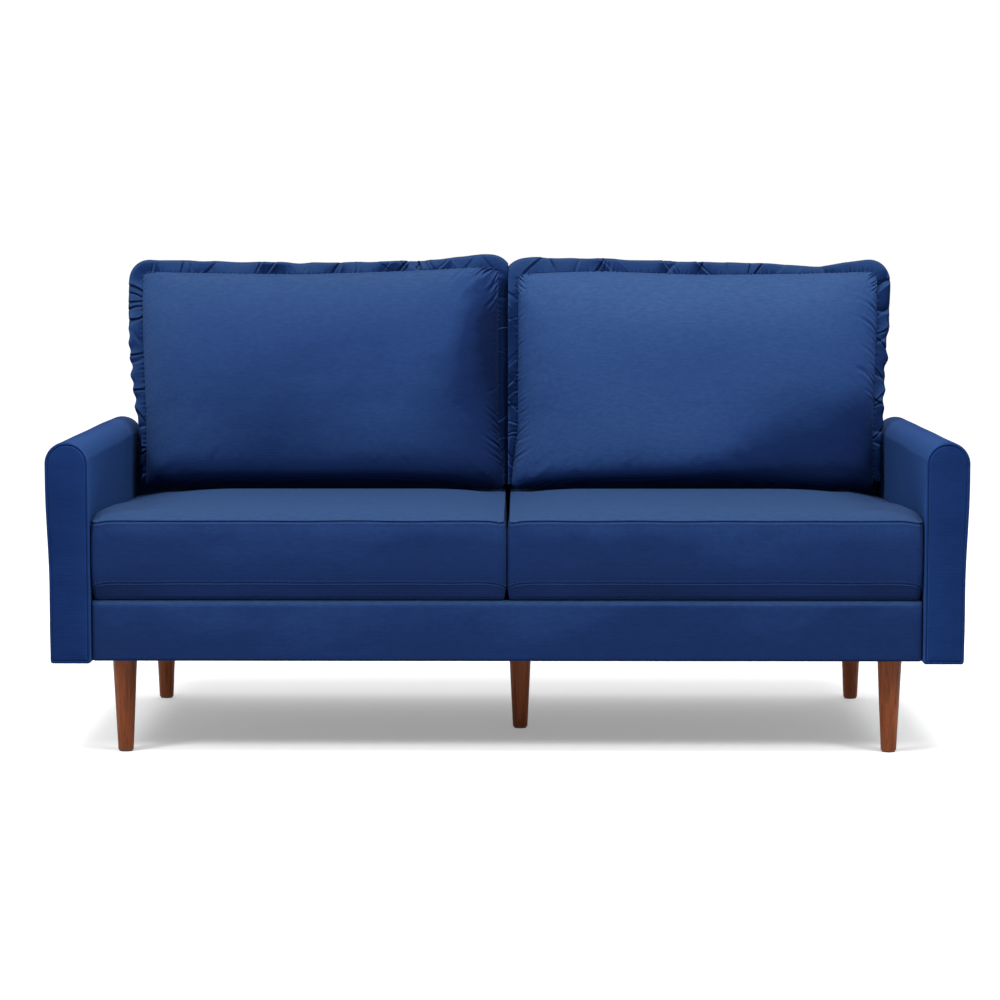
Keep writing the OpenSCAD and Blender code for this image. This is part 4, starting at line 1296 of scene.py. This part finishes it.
def draw_pleats(side, length):
    """Random pleats along the strip: place, slant, height, tail, share at the root, curl."""
    rng = np.random.default_rng(300 + side)
    cuts = [0.02]
    while cuts[-1] < length:
        near, far = rng.uniform(0.006, 0.016), rng.uniform(0.024, 0.075)
        cuts.append(cuts[-1] + rng.choice([near, far], p=[0.58, 0.42]))
    pleats = []
    for cut in cuts:
        slant, height = rng.uniform(-1.3, 1.3), rng.uniform(0.0024, 0.0062) * rng.choice([1, 1, -1])
        pleats.append((cut, slant, height, rng.uniform(0.005, 0.016), rng.uniform(0.0, 1.0),
                       rng.uniform(-1, 1)))
    return pleats


def pleat_lift(pleats, s, reach, t):
    """Pleats at share t of the strip's width: each steps up sharply and eases back down."""
    total = 0
    for cut, slant, height, tail, root_share, curl in pleats:
        at = s - cut - slant * reach - 0.003 * curl * sin(3 * t)
        step = 1 / (1 + np.exp(-np.clip(at / 0.0006, -30, 30)))
        ease = np.exp(-np.clip(at, 0, None) / tail)
        share = root_share + (1 - root_share) * t
        valley = 0.62 * abs(height) * np.exp(-(at / 0.0022 + 0.6) ** 2)
        total = total + share * (height * step * ease - valley)
    return total


def make_ruffle(side_name, seam):
    """The flange: a folded strip pleated here and there into the edge seam."""
    side = SIDES[side_name]
    s, line = ruffle_root(seam)
    out = unit(np.cross(np.gradient(line, axis=0), CUSHION_FORWARD))
    if ((line - cushion_place(np.array([0.0, 0.0, CUSHION_H / 2]))) * out).sum() < 0:
        out = -out
    below_top = smooth(CUSHION_H - (line - cushion_place(np.zeros(3))) @ CUSHION_UP, 0.0, 0.045)
    across = line[:, 0] - CUSHION_MIDDLE
    outer = smooth(across, CUSHION_HALF - 0.05, CUSHION_HALF - 0.02)
    inner = smooth(-across, CUSHION_HALF - 0.05, CUSHION_HALF - 0.01) * below_top
    width = ruffle_width(side, s, line, outer, inner, below_top)
    pleats = draw_pleats(side, s[-1])
    busy = 0.30 + 0.70 * smooth(wobble(s, 0.26, 315 + side), -0.8, 0.4)
    busy = np.maximum(busy, 0.9 * outer)
    lean_back = 0.0140 if side == LEFT else -0.0050

    def lift(t):
        """How far forward the strip stands at share t of its width."""
        broad = 0.0022 * wobble(s, 0.17, 312 + side) * t ** 1.3
        fine = 0.00022 * wobble(s, 0.013, 314 + side, 25) * np.exp(-t * width / 0.005)
        pleated = busy * pleat_lift(pleats, s, t * width, t)
        return (broad + pleated) * (1 - 0.45 * inner) + fine - (0.0025 + lean_back * inner) * t

    root = -0.0045      # the strip starts inside the seam
    shares = np.concatenate([[root / 0.03, 0.0], np.linspace(0.07, 0.93, 10)])
    rings = []
    for face, order in ((1, shares), (0, [1.0]), (-1, shares[::-1])):
        for t in order:
            reach = np.where(t < 0, root, width * t)
            thick = 0.0007 if t < 0 else 0.0013 + 0.0009 * sin(pi * min(t, 0.93) * 0.9)
            tip = 0.0012 * (t > 0.9) * (face != 0)
            shift = lift(max(t, 0)) + face * (thick - tip)
            rings.append(line + out * reach[:, None] + CUSHION_FORWARD * shift[:, None])
    grid = np.array(rings).swapaxes(0, 1)
    low = grid[..., 2] < ARM_HIGH.z + 0.012
    grid[..., 0] = np.clip(grid[..., 0], -0.0004, np.where(low, ARM_LOW.x - 0.0015, 1.0))
    grid[..., 2] = np.maximum(grid[..., 2], seat_under_cushion(grid[..., 1]) + 0.001)
    grid[..., 0] *= side
    body = f"back_cushion_{side_name}"
    piece = make_piece(f"{body}_ruffle", grid, tube_faces(len(s), len(rings)), RUFFLE_VELVET, body)
    recalculate(piece)
    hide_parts(f"{body}_flange")


# ------------------------------------------------------------------ deck and underside

def cloth_sheet(name, low, high, z, sag, thickness, cells, material):
    """A thin sheet over a rectangle, its height above z given by sag(x, y), its rim closed."""
    xs = np.linspace(low.x, high.x, cells[0])
    ys = np.linspace(low.y, high.y, cells[1])
    x, y = np.meshgrid(xs, ys)
    top = np.stack([x, y, z + sag(x, y)], -1).reshape(-1, 3)
    under = top - (0, 0, thickness)
    rows, cols = x.shape
    shift = rows * cols
    faces = two_panels(rows, cols, np.arange(shift) + shift)
    rim = [int(i) for i in edge_loop(rows, cols)]
    for i, a in enumerate(rim):
        b = rim[(i + 1) % len(rim)]
        faces.append((a, a + shift, b + shift, b))
    piece = make_piece(name, np.concatenate([top, under]), faces, material, "sofa_frame")
    recalculate(piece)
    return piece


def make_deck():
    """Deck cloth drawn over the springs, with the rows of springs faintly showing."""
    pitch = 2 * ARM_LOW.x / 10

    def sag(x, y):
        rows = 0.0005 * (np.cos(2 * pi * (x / pitch + 0.5)) - 1)
        edge = smooth(np.minimum(y - DECK_LOW.y, DECK_HIGH.y - y), 0.0, 0.08)
        return (rows - 0.0002 + 0.00015 * ripple(in_plan(x, y), 0.05, 91)) * edge - 0.0001

    piece = cloth_sheet("deck_cloth", DECK_LOW, DECK_HIGH, DECK_HIGH.z, sag, 0.0008, (320, 120),
                        CAMBRIC)
    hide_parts("deck_cover")


def make_dust_cloth():
    """Dust cloth stapled under the seat box, sagging a little between the rails."""
    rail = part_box("base_centre_rail")
    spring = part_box("base_spring_rail")
    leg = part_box("leg_centre")
    spot = ((leg[0].x + leg[1].x) / 2, (leg[0].y + leg[1].y) / 2)

    def sag(x, y):
        bay = np.abs(np.sin(pi * x / (DUST_HIGH.x)))
        across = smooth(np.minimum(y - DUST_LOW.y, np.abs(spring[0].y - y)), 0.0, 0.14)
        edge = smooth(np.minimum(x - DUST_LOW.x, DUST_HIGH.x - x), 0.01, 0.14)
        middle = smooth(np.abs(x - (rail[0].x + rail[1].x) / 2), 0.01, 0.10)
        held = smooth(np.hypot(x - spot[0], y - spot[1]), 0.03, 0.11)
        gathers = 0.0005 * wobble(x, 0.06, 92) * np.exp(-(y - DUST_LOW.y) / 0.05)
        loose = 0.0030 + 0.0012 * ripple(in_plan(x, y), 0.16, 93)
        inside = smooth(np.minimum(x - DUST_LOW.x, DUST_HIGH.x - x), 0.0, 0.02)
        return -(bay * loose * across * edge * middle * held) + gathers * inside * 0.5

    piece = cloth_sheet("dust_cloth", DUST_LOW, DUST_HIGH, DUST_HIGH.z - 0.0002, sag, 0.0006,
                        (300, 140), CAMBRIC)
    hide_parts("dust_cover")


def make_staples():
    """Steel staples along the rim of the dust cloth."""
    points, faces = [], []
    crown, wire, pitch = 0.010, 0.0007, 0.062
    z = DUST_LOW.z - 0.0003
    spots = []
    for x in np.arange(DUST_LOW.x + 0.03, DUST_HIGH.x - 0.02, pitch):
        spots += [(x, DUST_LOW.y + 0.008, 0.0), (x, DUST_HIGH.y - 0.010, 0.0)]
    for y in np.arange(DUST_LOW.y + 0.05, DUST_HIGH.y - 0.03, pitch):
        spots += [(DUST_LOW.x + 0.010, y, pi / 2), (DUST_HIGH.x - 0.010, y, pi / 2)]
    rng = np.random.default_rng(95)
    for x, y, turn in spots:
        turn += rng.uniform(-0.25, 0.25)
        along = np.array([cos(turn), sin(turn), 0.0])
        across = np.array([-sin(turn), cos(turn), 0.0])
        up = np.array([0.0, 0.0, 1.0])
        path = [(-crown / 2, 0.0016), (-crown / 2, 0.0003), (-crown / 2 + 0.0004, 0.0),
                (crown / 2 - 0.0004, 0.0), (crown / 2, 0.0003), (crown / 2, 0.0016)]
        first = len(points)
        for i, (a, h) in enumerate(path):
            before, after = path[max(i - 1, 0)], path[min(i + 1, len(path) - 1)]
            way = unit(along * (after[0] - before[0]) + up * (after[1] - before[1]))
            side = np.cross(way, across)
            for k in range(6):
                t = 2 * pi * k / 6
                points.append(np.array([x, y, z]) + along * a + up * h
                              + (across * cos(t) + side * sin(t)) * wire / 2)
        faces += tube_faces(len(path), 6, first)
    piece = make_piece("dust_cloth_staples", points, faces, STEEL, "sofa_frame")
    recalculate(piece)


# ------------------------------------------------------------------ studio

def add_softbox(name, place, aim, size, power):
    """A rectangular light at a place, turned to what it is aimed at."""
    light = bpy.data.lights.new(name, "AREA")
    light.shape = "RECTANGLE"
    light.size, light.size_y = size
    light.energy = power
    lamp = add_object(name, light)
    lamp.location = place
    way = Vector(aim) - Vector(place)
    lamp.rotation_euler = way.to_track_quat("-Z", "Y").to_euler()


def make_world():
    """A white backdrop behind the sofa and all along the skyline, and a dimmer room in front."""
    world = bpy.data.worlds.new("studio_world")
    scene.world = world
    w = Nodes(world, "Generated")
    way = w.add("ShaderNodeSeparateXYZ", {0: w.place})
    behind = w.range(way.outputs["Y"], -0.3, 0.6, ROOM, 1.0, interpolation_type="SMOOTHSTEP")
    skyline = w.range(way.outputs["Z"], 0.16, 0.34, 1.0, ROOM, interpolation_type="SMOOTHSTEP")
    background = w.tree.nodes["Background"]
    w.put(background.inputs["Strength"], w.maths("MAXIMUM", behind, skyline))
    w.put(background.inputs["Color"], (1, 1, 1))


def make_studio():
    """A white floor and soft light from both sides, from above and from the room."""
    reach = 30.0
    corners = [(-reach, -reach, 0), (reach, -reach, 0), (reach, reach, 0), (-reach, reach, 0)]
    floor = add_mesh("studio_floor", corners, [(0, 1, 2, 3)])
    floor.data.materials.append(floor_material())

    make_world()
    add_softbox("key_left", (-3.0, -2.6, 3.0), (0, 0, 0.5), (1.0, 1.0), 95)
    add_softbox("fill_right", (3.0, -2.6, 3.0), (0, 0, 0.5), (1.0, 1.0), 75)
    add_softbox("overhead", (0.0, -1.2, 4.0), (0, 0, 0.4), (4.0, 1.4), 150)
    sun = bpy.data.lights.new("room", "SUN")
    sun.angle = radians(70)
    sun.energy = 0.9
    lamp = add_object("room", sun)
    lamp.rotation_euler = (radians(10), 0, 0)
    scene.view_settings.view_transform = "Standard"
    scene.view_settings.look = "None"


def make_camera():
    """A long lens, nearly level, a little right of centre, as in the product view."""
    camera = add_object("camera", bpy.data.cameras.new("camera"))
    camera.data.sensor_width = 36.0
    camera.data.lens = 102.56
    camera.data.clip_end = 100
    camera.location = (0.0231, -5.8169, 1.0033)
    camera.rotation_euler = (radians(90 - 5.305), 0, radians(0.381))
    scene.camera = camera


dress_cad_nodes()
for name in SIDES:
    make_arm(name)
    make_seat_cushion(name)
    make_back_cushion(name)
make_rail()
make_back_panel()
make_deck()
make_dust_cloth()
make_staples()
make_studio()
make_camera()
